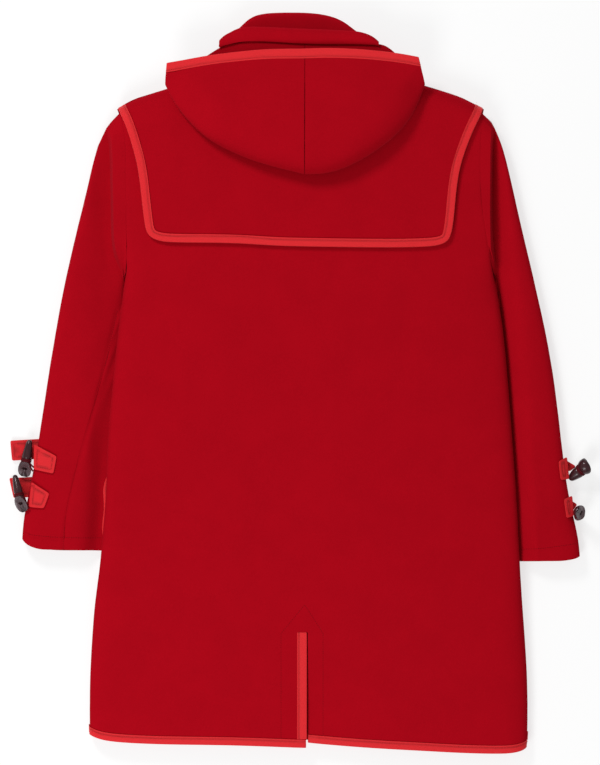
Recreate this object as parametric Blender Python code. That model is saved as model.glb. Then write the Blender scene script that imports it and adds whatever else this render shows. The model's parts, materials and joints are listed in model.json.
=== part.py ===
"""A hooded duffle coat of heavy wool, bound with bright tape, laid flat on its front.

The back of the coat faces up. X runs to the wearer's right, Y from the hem to the hood and Z up
from the surface that the coat lies on. Sizes are in millimetres and meshes are made in metres.
Each piece that is cut and sewn on is one object: a wall of cloth that is built from a grid of
points on its outer face. Bindings and patches are made from the points of what they lie on.
"""

import math
from collections import namedtuple

import bmesh
import bpy
import numpy as np

MM = 0.001
TAPE_RISE = 1.8  # a bound edge lies this much higher than the cloth beside it
WOOL = 2.8  # thickness of the wool
TAPE = 1.0  # thickness of the binding tape
STRAP = 1.6  # thickness of the straps and patches that hold the toggles
SEAM = 0.3  # gap between two pieces at a seam
FULL = 2.5  # fullness of the rounded folds: 2 is an ellipse, more is squarer

MIDDLE_X = 4.0  # the middle of the neck
YOKE_RISE = 5.2  # the yoke's outer face above the panel that it lies on
YOKE_END = 290.0  # where the yoke's front wings end
HEM_TAPE_WIDTH = 10.0
EDGE_TAPE_WIDTH = 12.0
YOKE_TAPE_WIDTH = 10.0
HIDDEN_TAPE_WIDTH = 7.0

SIDE_ROLL = 38.0  # width over which the back rounds down to its side seam
SHOULDER_ROLL = 30.0
SHOULDER_SEAM = 18.0  # height of the shoulder seam
FRONT_ROLL = 9.0  # width over which a front curls up to the side seam
NECK_HALF_WIDTH = 95.0
NECK_FADE = 35.0  # beside the neck the fall to the shoulder seam comes in over this width
UNDERARM = 150  # the row of the body where the armhole starts
ARMHOLE = 185  # from here up the side of the body is cut square for the armhole seam
STRETCH_FROM = 225.0  # the rows above this run up to the neckline

VENT_X = 7.5  # the free edge of the left flap of the vent
VENT_COLUMN = 8  # its column of the back
VENT_GAP = 2.4
VENT_TOP = -340.0
VENT_POINT = -302.0
VENT_SINK = 4.0  # how far the right flap lies below the left one
UNDERLAY_DEPTH = 7.4
UNDERLAY_HALF_WIDTH = 29.0
UNDERLAY_MIDDLE = 2.0

TUCKED = 8.0  # height of the part of a sleeve that lies under the body
TUCK_RUN = 10.0  # width over which a sleeve goes down under the body
SLEEVE_FREE = 24.0
SLEEVE_LIFT = 2.4  # a strap's thickness and its gap, under the cuffs
ARM_SHELF = 33.0  # height of the sleeve head beside the armhole seam
FRONT_OVER_SLEEVE = 8.8
RIDGE = 13.6  # the fronts lie over the toggles
POCKET_RISE = 6.6
LAP = 6.2  # the upper front above the lower one

Body = namedtuple("Body", "y left right")
BODY = [  # side seams, then above the underarm the armhole seams
    Body(-510, -284, 306),
    Body(-475, -287, 309),
    Body(-432, -287.5, 309.5),
    Body(-371, -285, 307),
    Body(-310, -281, 302.5),
    Body(-250, -273, 298.5),
    Body(-200, -268.5, 296),
    Body(-147, -264.5, 293),
    Body(-92, -263, 289),
    Body(-38, -259, 285),
    Body(16, -253.5, 281),
    Body(71, -248, 275.5),
    Body(125, -240.5, 267),
    Body(152, -236.5, 260.5),
    Body(180, -236.5, 256),
    Body(213, -237, 249.5),
    Body(266, -237.5, 244),
    Body(318, -237.5, 244),
    Body(345, -240.5, 246),
    Body(371, -247.5, 247.5),
]

Level = namedtuple("Level", "y back side")
LEVELS = [  # height of the back's outer face, and of the side seam
    Level(-510, 23.5, 12),
    Level(-475, 24.5, 12.5),
    Level(-400, 26, 13),
    Level(-300, 29, 15),
    Level(-240, 30.5, 21),
    Level(-150, 31.5, 21),
    Level(50, 33, 21),
    Level(130, 33.5, 21.5),
    Level(185, 34, 33),
    Level(430, 34, 33),
]

Hem = namedtuple("Hem", "x y")
HEM = [
    Hem(-288, -477),
    Hem(-275, -484),
    Hem(-255, -488),
    Hem(-205, -491),
    Hem(-96, -492.5),
    Hem(7.5, -496.4),
    Hem(10, -489.6),
    Hem(40, -492.3),
    Hem(94, -496.4),
    Hem(176, -500.5),
    Hem(258, -504.6),
    Hem(290, -503.5),
    Hem(303, -500),
    Hem(310, -493),
]

Top = namedtuple("Top", "x back front")
TOPS = [  # shoulder seams, with the neckline of the back and of the fronts between them
    Top(-248, 366.5, 366.5),
    Top(-225, 380, 380),
    Top(-184, 392.5, 392.5),
    Top(-140, 407, 407),
    Top(-98, 421, 421),
    Top(-60, 410, 352),
    Top(4, 404, 330),
    Top(68, 410, 352),
    Top(104, 421, 421),
    Top(140, 407.5, 407.5),
    Top(173, 396, 396),
    Top(203, 388.5, 388.5),
    Top(230, 376.5, 376.5),
    Top(248, 366.5, 366.5),
]

Arm = namedtuple("Arm", "y outer hind fore inner")
ARM_LEFT = [  # outer fold, the seams behind and before, and inner fold of the sleeve
    Arm(-235, -379, -322, -287, -231),
    Arm(-204, -379.5, -321.5, -282, -223),
    Arm(-160, -372, -319, -270, -208),
    Arm(-143, -369.5, -312, -265, -202),
    Arm(-92, -358.5, -300, -252, -185),
    Arm(-11, -347, -276, -243, -166),
    Arm(40, -338.5, -262, -241, -158),
    Arm(80, -332, -252, -241, -165),
    Arm(104, -327.5, -243.5, -242, -178),
    Arm(124, -324, -242.5, -243.5, -194),
    Arm(143, -319.5, -241, -242, -212),
    Arm(163, -315.5, -240, -240, -226),
]
ARM_RIGHT = [
    Arm(-246, 381.5, 319, 284, 227),
    Arm(-204, 378, 318, 276, 214),
    Arm(-160, 366, 312, 265, 203),
    Arm(-143, 363, 307, 260, 195),
    Arm(-92, 356.5, 294.5, 253, 184),
    Arm(-11, 348, 278, 249, 168),
    Arm(40, 340, 270, 256, 160),
    Arm(80, 331.5, 267, 264, 164),
    Arm(104, 327, 268.5, 267, 178),
    Arm(124, 322.5, 268, 269.5, 194),
    Arm(143, 318, 266, 269, 216),
    Arm(163, 313, 262, 264, 236),
]

Fold = namedtuple("Fold", "y left right")
SLEEVE_HEADS = [  # the outer fold of each sleeve from the shoulder down
    Fold(163, -315.5, 312.5),
    Fold(190, -308, 305),
    Fold(220, -301, 298.5),
    Fold(253, -293.5, 292),
    Fold(281, -286.5, 285.5),
    Fold(307, -280.5, 279.5),
    Fold(329, -272.5, 272.5),
    Fold(345, -264.5, 264.5),
    Fold(356, -257, 258),
    Fold(366, -248.5, 249),
]

Ledge = namedtuple("Ledge", "y left right")
LEDGES = [  # where the sleeve head, level with the back beside the armhole, folds down
    Ledge(143, -239.5, 268),
    Ledge(152, -240.5, 266),
    Ledge(160, -244, 263.5),
    Ledge(168, -250, 261),
    Ledge(180, -253, 258.5),
    Ledge(200, -253.5, 257),
    Ledge(247, -254, 257),
    Ledge(320, -255.5, 257.5),
    Ledge(347, -256.5, 258),
]

Valley = namedtuple("Valley", "y reach near low tuck")
VALLEY_LEFT = [  # how far out from the body the sleeve starts to fall, and has come down to low,
    Valley(-235, 27, 17, 15, 17),  # and where it starts to go on down under the body
    Valley(-120, 27, 16, 15, 17),
    Valley(-40, 27, 12, 15, 10),
    Valley(40, 38, 14, 15, 10),
    Valley(100, 56, 24, 14.5, 10),
    Valley(150, 60, 24, 14, 9),
    Valley(247, 62, 24, 14, 9),
    Valley(320, 50, 22, 17, 9),
    Valley(360, 34, 22, 22, 9),
]
VALLEY_RIGHT = [
    Valley(-246, 26, 8, 16.5, 8),
    Valley(-40, 26, 8, 16, 8),
    Valley(100, 28, 8, 15, 8),
    Valley(150, 32, 12, 14, 8),
    Valley(247, 40, 18, 13, 8),
    Valley(320, 36, 18, 16, 8),
    Valley(360, 30, 16, 22, 8),
]

Soft = namedtuple("Soft", "x y turn length width height")
SOFT_FOLDS = [  # long low ridges and hollows of the cloth, by middle, direction and reach
    Soft(-120, 60, 84, 190, 46, 1.2),
    Soft(-40, -80, 97, 220, 38, -0.9),
    Soft(90, 40, 92, 200, 50, 1.3),
    Soft(190, -60, 86, 230, 42, 1.0),
    Soft(-200, -150, 88, 210, 30, -0.8),
    Soft(60, -250, 100, 150, 44, 1.1),
    Soft(-130, -330, 80, 150, 52, 1.4),
    Soft(180, -360, 95, 160, 40, 1.2),
    Soft(-20, 150, 5, 170, 32, 0.9),
    Soft(-150, 225, 20, 90, 26, 0.8),
    Soft(130, 240, -25, 100, 28, 0.9),
    Soft(-306, 80, 76, 130, 15, -1.4),
    Soft(-318, -60, 78, 110, 13, 1.2),
    Soft(302, 60, 102, 150, 13, 1.0),
    Soft(330, -90, 98, 110, 12, -0.8),
]
HOOD_FOLDS = [
    Soft(-110, 395, 25, 80, 20, 1.2),
    Soft(-45, 370, 60, 60, 18, -1.0),
    Soft(60, 380, -20, 90, 22, 1.1),
    Soft(110, 400, 70, 60, 16, -0.7),
]
HOODED = (262.0, 292.0)  # between these the folds of the body fade out under the hood


def smooth_through(places, values):
    """A smooth function through the given values, with no overshoot between them."""
    p = np.array(places, float)
    v = np.array(values, float)
    step = np.diff(p)
    rise = np.diff(v) / step
    slope = np.concatenate([rise[:1], np.zeros(len(p) - 2), rise[-1:]])
    same = rise[:-1] * rise[1:] > 0
    both = np.where(same, rise[:-1] + rise[1:], 1.0)
    slope[1:-1] = np.where(same, 2 * rise[:-1] * rise[1:] / both, 0.0)

    def at(x):
        x = np.clip(x, p[0], p[-1])
        i = np.clip(np.searchsorted(p, x) - 1, 0, len(step) - 1)
        t = (x - p[i]) / step[i]
        start = v[i] * (1 + 2 * t) + slope[i] * step[i] * t
        end = v[i + 1] * (3 - 2 * t) + slope[i + 1] * step[i] * (t - 1)
        return start * (1 - t) ** 2 + end * t * t

    return at


def column(table, along, name):
    """One named column of a table, as a smooth function of another one."""
    return smooth_through([getattr(r, along) for r in table], [getattr(r, name) for r in table])


def ramp(x, start, end):
    """Rises smoothly from 0 at start to 1 at end, whichever of the two is larger."""
    t = np.clip((x - start) / (end - start), 0.0, 1.0)
    return t * t * (3 - 2 * t)


def mix(a, b, t):
    return a + (b - a) * t


def folds(table, x, y):
    """How far the long folds of a table raise the cloth at a point."""
    total = 0.0
    for fold in table:
        turn = math.radians(fold.turn)
        dx, dy = x - fold.x, y - fold.y
        along = (dx * math.cos(turn) + dy * math.sin(turn)) / fold.length
        across = (dy * math.cos(turn) - dx * math.sin(turn)) / fold.width
        total += fold.height * math.exp(-(along**2) - across**2)
    return total


def body_folds(x, y):
    return folds(SOFT_FOLDS, x, y) * ramp(y, HOODED[1], HOODED[0])


def run_in(angle):
    """How far in from a fold's outermost line a point of its roll lies, as a share of the roll."""
    return 1 - abs(math.cos(math.radians(angle))) ** (2 / FULL)


def rise_in(angle):
    """How far a point of a roll has risen, as a share of the roll's height."""
    return abs(math.sin(math.radians(angle))) ** (2 / FULL)


def evenly(start, end, count):
    """The count values that lie between two others, evenly spaced."""
    return [mix(start, end, i / (count + 1)) for i in range(1, count + 1)]


side_left = column(BODY, "y", "left")
side_right = column(BODY, "y", "right")
back_level = column(LEVELS, "y", "back")
side_level = column(LEVELS, "y", "side")
hem_left = column([h for h in HEM if h.x < 9], "x", "y")
hem_right = column([h for h in HEM if h.x > 9], "x", "y")
top_of_back = column(TOPS, "x", "back")
top_of_front = column(TOPS, "x", "front")
head_left = column(SLEEVE_HEADS, "y", "left")
head_right = column(SLEEVE_HEADS, "y", "right")


def arm_column(side, name):
    """A column of one sleeve's table by height; side is -1 on the left and 1 on the right."""
    return column(ARM_LEFT if side < 0 else ARM_RIGHT, "y", name)


def valley_column(side, name):
    return column(VALLEY_LEFT if side < 0 else VALLEY_RIGHT, "y", name)


# Materials and objects


def make_look(name, colour, roughness, metallic=0.0):
    look = bpy.data.materials.new(name)
    look.use_nodes = True
    shader = look.node_tree.nodes["Principled BSDF"]
    shader.inputs["Base Color"].default_value = (*colour, 1.0)
    shader.inputs["Roughness"].default_value = roughness
    shader.inputs["Metallic"].default_value = metallic
    return look


WOOL_RED = (0.36, 0.006, 0.012)
TAPE_RED = (0.68, 0.02, 0.025)
STRAP_RED = (0.70, 0.02, 0.03)
HORN = (0.035, 0.012, 0.01)


def add_object(name, mesh, colour, roughness):
    """A bmesh in millimetres becomes a named object in metres, with its own material."""
    bmesh.ops.scale(mesh, vec=(MM, MM, MM), verts=mesh.verts)
    data = bpy.data.meshes.new(name)
    mesh.to_mesh(data)
    mesh.free()
    data.shade_smooth()
    data.set_sharp_from_angle(angle=math.radians(50))
    data.materials.append(make_look(name + "_finish", colour, roughness))
    made = bpy.data.objects.new(name, data)
    bpy.context.scene.collection.objects.link(made)
    return made


class Panel:
    """A wall of cloth, given by a grid of points on its outer face.

    Seen from outside, columns run to the right and rows run up. Cells in holes have no cloth.
    """

    def __init__(self, outer, thickness=WOOL, holes=()):
        self.outer = np.array(outer, float)
        self.thickness = thickness
        self.holes = set(holes)
        self.normals = self.vertex_normals()

    def cells(self):
        rows, columns = self.outer.shape[:2]
        every = ((i, j) for i in range(rows - 1) for j in range(columns - 1))
        return [cell for cell in every if cell not in self.holes]

    def vertex_normals(self):
        """At each point, the mean of the unit normals of the cells around it, lengthened so
        that a wall offset along them keeps its thickness in a bend."""
        total = np.zeros_like(self.outer)
        count = np.zeros(self.outer.shape[:2] + (1,))
        for i, j in self.cells():
            a, b = self.outer[i, j], self.outer[i, j + 1]
            c, d = self.outer[i + 1, j + 1], self.outer[i + 1, j]
            normal = np.cross(c - a, d - b)
            normal /= np.linalg.norm(normal)
            for corner in ((i, j), (i, j + 1), (i + 1, j + 1), (i + 1, j)):
                total[corner] += normal
                count[corner] += 1
        mean = total / np.maximum(count, 1)
        length = np.linalg.norm(mean, axis=2, keepdims=True)
        return mean / np.maximum(length, 0.5) ** 2

    def lay_level(self, at, share):
        """Turns the normal at an edge point level, as far as share says, for a square seam."""
        normal = self.normals[at]
        length = np.linalg.norm(normal)
        normal = normal * (1, 1, 1 - share)
        self.normals[at] = normal * length / np.linalg.norm(normal)

    def moved_out(self, distance):
        return self.outer + distance * self.normals

    def part_of(self, rows, columns, distance, thickness):
        """A panel that lies on this one, on the cells between the given rows and columns."""
        points = self.moved_out(distance + thickness)
        return Panel(points[rows[0] : rows[1] + 1, columns[0] : columns[1] + 1], thickness)

    def build(self, name, colour=WOOL_RED, roughness=0.9):
        faces = [self.outer, self.moved_out(-self.thickness)]
        mesh = bmesh.new()
        rows, columns = self.outer.shape[:2]
        sheets = []
        for points in faces:
            made = bmesh.ops.create_grid(mesh, x_segments=columns - 1, y_segments=rows - 1, size=1)
            grid = sorted(made["verts"], key=lambda v: (round(v.co.y, 4), round(v.co.x, 4)))
            for vertex, place in zip(grid, points.reshape(-1, 3)):
                vertex.co = place
            sheets.append(np.array(grid, dtype=object).reshape(rows, columns))
        gone = [
            mesh.faces.get([g[i, j], g[i, j + 1], g[i + 1, j + 1], g[i + 1, j]])
            for g in sheets
            for i, j in self.holes
        ]
        bmesh.ops.delete(mesh, geom=gone, context="FACES")
        outer_of = {v: w for v, w in zip(sheets[1].ravel(), sheets[0].ravel())}
        inner_faces = [f for f in mesh.faces if f.verts[0] in outer_of]
        bmesh.ops.reverse_faces(mesh, faces=inner_faces)
        rims = [e for e in mesh.edges if e.is_boundary and e.verts[0] in outer_of]
        for edge in rims:
            a, b = (loop.vert for loop in (edge.link_loops[0], edge.link_loops[0].link_loop_next))
            mesh.faces.new([b, a, outer_of[a], outer_of[b]])
        bmesh.ops.recalc_face_normals(mesh, faces=mesh.faces)
        return add_object(name, mesh, colour, roughness)


Station = namedtuple("Station", "place normal inward")


def edge_of(panel, line, next_line):
    """Stations along an edge of a panel: its points, their normals and the way into the cloth."""
    stations = []
    for at, inside in zip(line, next_line):
        normal = panel.normals[at] / np.linalg.norm(panel.normals[at])
        inward = panel.outer[inside] - panel.outer[at]
        inward = inward - normal * inward.dot(normal)
        stations.append(Station(panel.outer[at], normal, inward / np.linalg.norm(inward)))
    return stations


def squared(stations):
    """The same stations with each inward way square to the edge."""
    result = []
    for k, station in enumerate(stations):
        before = stations[max(k - 1, 0)].place
        after = stations[min(k + 1, len(stations) - 1)].place
        along = (after - before) / np.linalg.norm(after - before)
        inward = station.inward - along * station.inward.dot(along)
        result.append(station._replace(inward=inward / np.linalg.norm(inward)))
    return result


def bind(name, stations, width, hidden=HIDDEN_TAPE_WIDTH, clear=SEAM):
    """A tape folded round the edge of a wall: a U whose legs are as wide as width and hidden."""
    out = clear + TAPE
    profile = [
        (width, clear),
        (width, out),
        (-out, out),
        (-out, -WOOL - out),
        (hidden, -WOOL - out),
        (hidden, -WOOL - clear),
        (-clear, -WOOL - clear),
        (-clear, clear),
    ]
    mesh = bmesh.new()
    rings = [
        [mesh.verts.new(s.place + s.inward * a + s.normal * n) for a, n in profile]
        for s in stations
    ]
    for one, two in zip(rings, rings[1:]):
        for k in range(len(profile)):
            m = (k + 1) % len(profile)
            mesh.faces.new([one[k], one[m], two[m], two[k]])
    for ring in (rings[0], rings[-1]):
        for corners in ((0, 1, 2, 7), (2, 3, 6, 7), (3, 4, 5, 6)):
            mesh.faces.new([ring[k] for k in corners])
    bmesh.ops.recalc_face_normals(mesh, faces=mesh.faces)
    return add_object(name, mesh, TAPE_RED, 0.75)


# The body


def shoulder_drop(x, beyond=0.0):
    """How much of the fall to the shoulder seam the top edge takes: none at the neck."""
    start = NECK_HALF_WIDTH + beyond
    return ramp(abs(x - MIDDLE_X), start, start + NECK_FADE)


def back_height(x, y):
    """Height of the flat of the back, with the right flap of the vent a little lower."""
    sink = VENT_SINK * ramp(x, 120, 30) * ramp(y, VENT_TOP, VENT_TOP - 90)
    return back_level(y) + body_folds(x, y) - (sink if x > VENT_X else 0.0)


# The back and the fronts share the rows above their hems, so that their seams match.
ROWS = [-456, -420, -388, -358, -340, -302, -280, -252, -226, -200, -172, -147, -130, -112]
ROWS += [-82, -38, 16, 71, 112, 130, 150, 185, 225, 258, 290, 318]
BACK_ROWS = [-500, -489] + ROWS
BACK_TOP = 370.0  # the height that the rows are given for
ROLL_ANGLES = (90, 62, 34, 0)
SIDE_ANGLES = (0, 28, 60, 90)


def back_columns(y):
    """X of each column of the back, with the angle of its roll."""
    left, right = side_left(y), side_right(y)
    rolled = [(left + SIDE_ROLL * run_in(a), a) for a in SIDE_ANGLES]
    flat = [(x, 90) for x in evenly(left + SIDE_ROLL, VENT_X, 4)]
    flat += [(VENT_X, 90), (VENT_X + VENT_GAP, 90)]
    flat += [(x, 90) for x in evenly(VENT_X + VENT_GAP, right - SIDE_ROLL, 4)]
    return rolled + flat + [(right - SIDE_ROLL * run_in(a), a) for a in reversed(SIDE_ANGLES)]


def stretched(y, low, low_from, high, high_from, top):
    """A row's height between its own hem and top, from the height it is named by."""
    if y < low_from:
        return mix(low_from, low, (y - low_from) / (BACK_ROWS[0] - low_from))
    if y > high_from:
        return mix(high_from, high, (y - high_from) / (top - high_from))
    return y


def level_the_seams(panel, sides):
    """The shoulder seam of a panel, and its side seams in the given columns, are cut squarely."""
    rows, columns = panel.outer.shape[:2]
    for i in range(rows):
        for j in sides:
            panel.lay_level((i, j), ramp(panel.outer[i, j, 1], ARMHOLE, UNDERARM))
    for j in range(columns):
        panel.lay_level((rows - 1, j), shoulder_drop(panel.outer[rows - 1, j, 0]))


def make_back():
    names = [(row, 90) for row in BACK_ROWS] + [(BACK_TOP, a) for a in ROLL_ANGLES]
    grid = []
    for row, roll in names:
        points = []
        for place, (x, angle) in enumerate(back_columns(row)):
            hem = hem_left(x) if place <= VENT_COLUMN else hem_right(x)
            top = top_of_back(x) - SHOULDER_ROLL
            if row == BACK_TOP:
                y = top + SHOULDER_ROLL * (1 - run_in(roll))
            else:
                y = stretched(row, hem, VENT_TOP, top, STRETCH_FROM, BACK_TOP - SHOULDER_ROLL)
            x = back_columns(min(y, BACK_TOP))[place][0]
            z = back_height(x, y)
            z -= (z - side_level(y)) * (1 - rise_in(angle))
            z -= (z - SHOULDER_SEAM) * (1 - rise_in(roll)) * shoulder_drop(x)
            points.append((x, y, z))
        grid.append(points)
    slit = [(i, VENT_COLUMN) for i in range(BACK_ROWS.index(VENT_TOP))]
    back = Panel(grid, holes=slit)
    last = len(grid[0]) - 1
    level_the_seams(back, (0, last))
    back.build("back")
    hems = {"left": range(VENT_COLUMN + 1), "right": range(VENT_COLUMN + 1, last + 1)}
    for name, places in hems.items():
        stations = edge_of(back, [(0, j) for j in places], [(1, j) for j in places])
        bind("hem_tape_back_" + name, stations, HEM_TAPE_WIDTH)
    flap = [(i, VENT_COLUMN) for i in range(1, BACK_ROWS.index(VENT_TOP) + 1)]
    stations = edge_of(back, flap, [(i, j - 1) for i, j in flap])
    bind("vent_tape", squared(stations), EDGE_TAPE_WIDTH)
    return back


# The fronts

FRONT_HEM = -486.0
FRONT_ROWS = [FRONT_HEM, FRONT_HEM + HEM_TAPE_WIDTH + 0.5] + ROWS
FRONT_ANGLES = (0, 30, 60, 90)
LEFT_FRONT_EDGE = 45.0
RIGHT_FRONT_EDGE = -35.0
RIDGE_FROM = -112.0
RIDGE_TO = 256.0
RIDGE_HALF_WIDTH = 76.0
LAP_EDGE = 52.0  # where the upper front comes down beside the lower one
POCKET_LOW = -340.0
POCKET_HIGH = -130.0
POCKET_EDGE = 108.0  # the pockets' inner edge, from the middle
POCKET_TAPE_WIDTH = 8.0
POCKET_TAPE_HIDDEN = 6.0
SLEEVE_UNDER = (-26, -4)  # out from a sleeve's inner fold, a front comes up to lie on it
SLEEVE_UNDER_END = (-280, -252)
RIDGE_FADE = 30.0  # widths over which what raises a front fades out
RIDGE_FADE_LOW = 35.0
RIDGE_FADE_HIGH = 38.0
POCKET_FADE = 18.0
YOKE_FADE = 32.0
EDGE_FADE = 28.0
FOLD_COLUMN = 4.0  # a column of each front lies this far out from the sleeve's inner fold,
FOLD_COLUMN_IN = 34.0  # but at least this far in from the side seam,
FOLD_STEP = 24.0  # and the next one this far in from it


def sleeve_inner(side, y):
    """X of the inner fold of a sleeve, which lies under the body."""
    return arm_column(side, "inner")(y)


def front_height(side, x, y):
    """Height of a front's outer face, which looks down: it lies on what is under it."""
    sleeve = FRONT_OVER_SLEEVE * ramp(side * (x - sleeve_inner(side, y)), *SLEEVE_UNDER)
    sleeve *= ramp(y, ARMHOLE, UNDERARM) * ramp(y, *SLEEVE_UNDER_END)
    ridge = RIDGE * ramp(abs(x), RIDGE_HALF_WIDTH + RIDGE_FADE, RIDGE_HALF_WIDTH)
    ridge *= ramp(y, RIDGE_FROM - RIDGE_FADE_LOW, RIDGE_FROM)
    ridge *= ramp(y, RIDGE_TO + RIDGE_FADE_HIGH, RIDGE_TO)
    pocket = POCKET_RISE * ramp(abs(x), RIDGE_HALF_WIDTH, POCKET_EDGE)
    pocket *= ramp(y, POCKET_LOW - POCKET_FADE, POCKET_LOW)
    pocket *= ramp(y, POCKET_HIGH + POCKET_FADE, POCKET_HIGH)
    yoke = YOKE_RISE * ramp(y, YOKE_END - YOKE_FADE, YOKE_END)
    tape = TAPE_RISE * ramp(y, ROWS[0], FRONT_HEM + HEM_TAPE_WIDTH + 0.5)
    taped = LEFT_FRONT_EDGE - EDGE_TAPE_WIDTH
    edge = TAPE_RISE * ramp(x, taped - EDGE_FADE, taped)
    lap = (RIDGE_HALF_WIDTH - x) / (RIDGE_HALF_WIDTH - LAP_EDGE) if side > 0 else 0.0
    lap = LAP * min(max(lap, 0), 1)
    return sleeve + max(ridge, edge, yoke, tape) + pocket + lap


def front_columns(side, y):
    """X of each column of a front from its side seam inwards, with the angle of its roll."""
    seam = side_left(y) if side < 0 else side_right(y)
    rolled = [(seam - side * FRONT_ROLL * run_in(a), a) for a in FRONT_ANGLES]
    fold = min(abs(sleeve_inner(side, y)) + FOLD_COLUMN, abs(seam) - FOLD_COLUMN_IN)
    inner = fold - FOLD_STEP
    flat = [side * v for v in (fold, inner, mix(inner, POCKET_EDGE, 0.5), POCKET_EDGE)]
    if side < 0:
        flat += [-RIDGE_HALF_WIDTH, -30, 5, LEFT_FRONT_EDGE - EDGE_TAPE_WIDTH, LEFT_FRONT_EDGE]
    else:
        flat += [RIDGE_HALF_WIDTH, LAP_EDGE, 10, RIGHT_FRONT_EDGE]
    middle = mix(rolled[-1][0], flat[0], 0.5)
    return rolled + [(middle, 90)] + [(x, 90) for x in flat]


def make_front(side):
    """A front, its edge binding and hem binding, its pocket and its wing of the yoke."""
    names = [(row, 90) for row in FRONT_ROWS] + [(BACK_TOP, a) for a in ROLL_ANGLES]
    grid = []
    for row, roll in names:
        points = []
        for place, (x, angle) in enumerate(front_columns(side, row)):
            top = top_of_front(x) - SHOULDER_ROLL
            if row == BACK_TOP:
                y = top + SHOULDER_ROLL * (1 - run_in(roll))
            elif row > STRETCH_FROM:
                share = (row - STRETCH_FROM) / (BACK_TOP - SHOULDER_ROLL - STRETCH_FROM)
                y = mix(STRETCH_FROM, top, share)
            else:
                y = max(row, hem_left(x) + 2) if side < 0 else row
            x = front_columns(side, y)[place][0]
            z = front_height(side, x, y)
            seam = mix(side_level(y) - SEAM, z + 0.2, ramp(y, UNDERARM, ARMHOLE))
            z += (seam - z) * (1 - rise_in(angle))
            z += (SHOULDER_SEAM - SEAM - z) * (1 - rise_in(roll)) * shoulder_drop(x)
            points.append((x, y, z))
        grid.append(points if side > 0 else points[::-1])
    front = Panel(grid)
    level_the_seams(front, (-1,) if side < 0 else (0,))
    name = "left" if side < 0 else "right"
    front.build("front_" + name)
    rows, count = front.outer.shape[:2]
    # Columns run from the middle to the left seam, or from the right seam to the middle.
    at = [p if side > 0 else count - 1 - p for p in range(count)]
    hem = [(0, j) for j in range(count)]
    stations = edge_of(front, hem, [(1, j) for _, j in hem])
    bind("hem_tape_front_" + name, stations, HEM_TAPE_WIDTH, clear=0.6)
    edge = [(i, at[-1]) for i in range(1, rows)]
    stations = squared(edge_of(front, edge, [(i, at[-2]) for i, _ in edge]))
    bind("front_tape_" + name, stations, EDGE_TAPE_WIDTH, clear=0.7)
    make_pocket(name, side, front, sorted((at[3], at[8])))
    wing_rows = (FRONT_ROWS.index(YOKE_END), rows - 1)
    wing = front.part_of(wing_rows, sorted((at[0], at[7])), YOKE_RISE - WOOL, WOOL)
    for j in range(wing.outer.shape[1]):
        wing.lay_level((-1, j), 1.0)
    wing.build("yoke_front_" + name)
    return front


PocketEdge = namedtuple("PocketEdge", "y out")
POCKET_SIDE = [  # how far the outer edge of the left pocket stands out past the side roll
    PocketEdge(-340, 0),
    PocketEdge(-252, 0),
    PocketEdge(-226, 2),
    PocketEdge(-200, 11),
    PocketEdge(-172, 7),
    PocketEdge(-147, 13),
    PocketEdge(-130, 8),
]
pocket_out = column(POCKET_SIDE, "y", "out")


def make_pocket(name, side, front, columns):
    rows = (FRONT_ROWS.index(POCKET_LOW), FRONT_ROWS.index(POCKET_HIGH))
    pocket = front.part_of(rows, columns, POCKET_RISE - TAPE_RISE - WOOL, WOOL)
    outer_column = -1 if side < 0 else 0
    for place in pocket.outer[:, outer_column]:
        place[0] += side * (pocket_out(place[1]) if side < 0 else 0.0)
    pocket.build("pocket_" + name)
    rows, count = pocket.outer.shape[:2]
    outer_column = count - 1 if side < 0 else 0
    inside = count - 2 if side < 0 else 1
    down = [(i, outer_column) for i in range(rows)]
    across = [(rows - 1, j) for j in range(count)]
    stations = edge_of(pocket, down[:-1], [(i, inside) for i, _ in down[:-1]])
    corner = edge_of(pocket, down[-1:], [(rows - 2, inside)])
    row = edge_of(pocket, across, [(rows - 2, j) for _, j in across])
    row = row[:-1][::-1] if side < 0 else row[1:]
    path = squared(stations + corner + row)
    bind("pocket_tape_" + name, path, POCKET_TAPE_WIDTH, POCKET_TAPE_HIDDEN, clear=0.6)


# The yoke

Yoke = namedtuple("Yoke", "y left right")
YOKE_SIDES = [  # from the middle of each lower corner up to the shoulder
    Yoke(191, -198, 198.5),
    Yoke(197, -203, 201.5),
    Yoke(207, -208.5, 204.5),
    Yoke(225, -211, 206.5),
    Yoke(248, -214, 209),
    Yoke(280, -217, 211.5),
    Yoke(302, -221, 217),
    Yoke(335, -230.5, 229),
    Yoke(356, -238.7, 240),
    Yoke(371, -246.5, 246.5),
]
Low = namedtuple("Low", "x y")
YOKE_BOTTOM = [
    Low(-203, 197),
    Low(-192, 192.3),
    Low(-175, 190.4),
    Low(-96, 190.2),
    Low(-41, 186.3),
    Low(13, 185),
    Low(136, 183.6),
    Low(176, 185),
    Low(190, 187),
    Low(198.5, 191),
]
yoke_left = column(YOKE_SIDES, "y", "left")
yoke_right = column(YOKE_SIDES, "y", "right")
yoke_bottom = column(YOKE_BOTTOM, "x", "y")
YOKE_COLUMNS = (0, 0.03, 0.075, 0.17, 0.3, 0.41, 0.5, 0.59, 0.7, 0.83, 0.925, 0.97, 1)
YOKE_ROWS = (0, 0.06, 0.13, 0.3, 0.5, 0.72)


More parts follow.
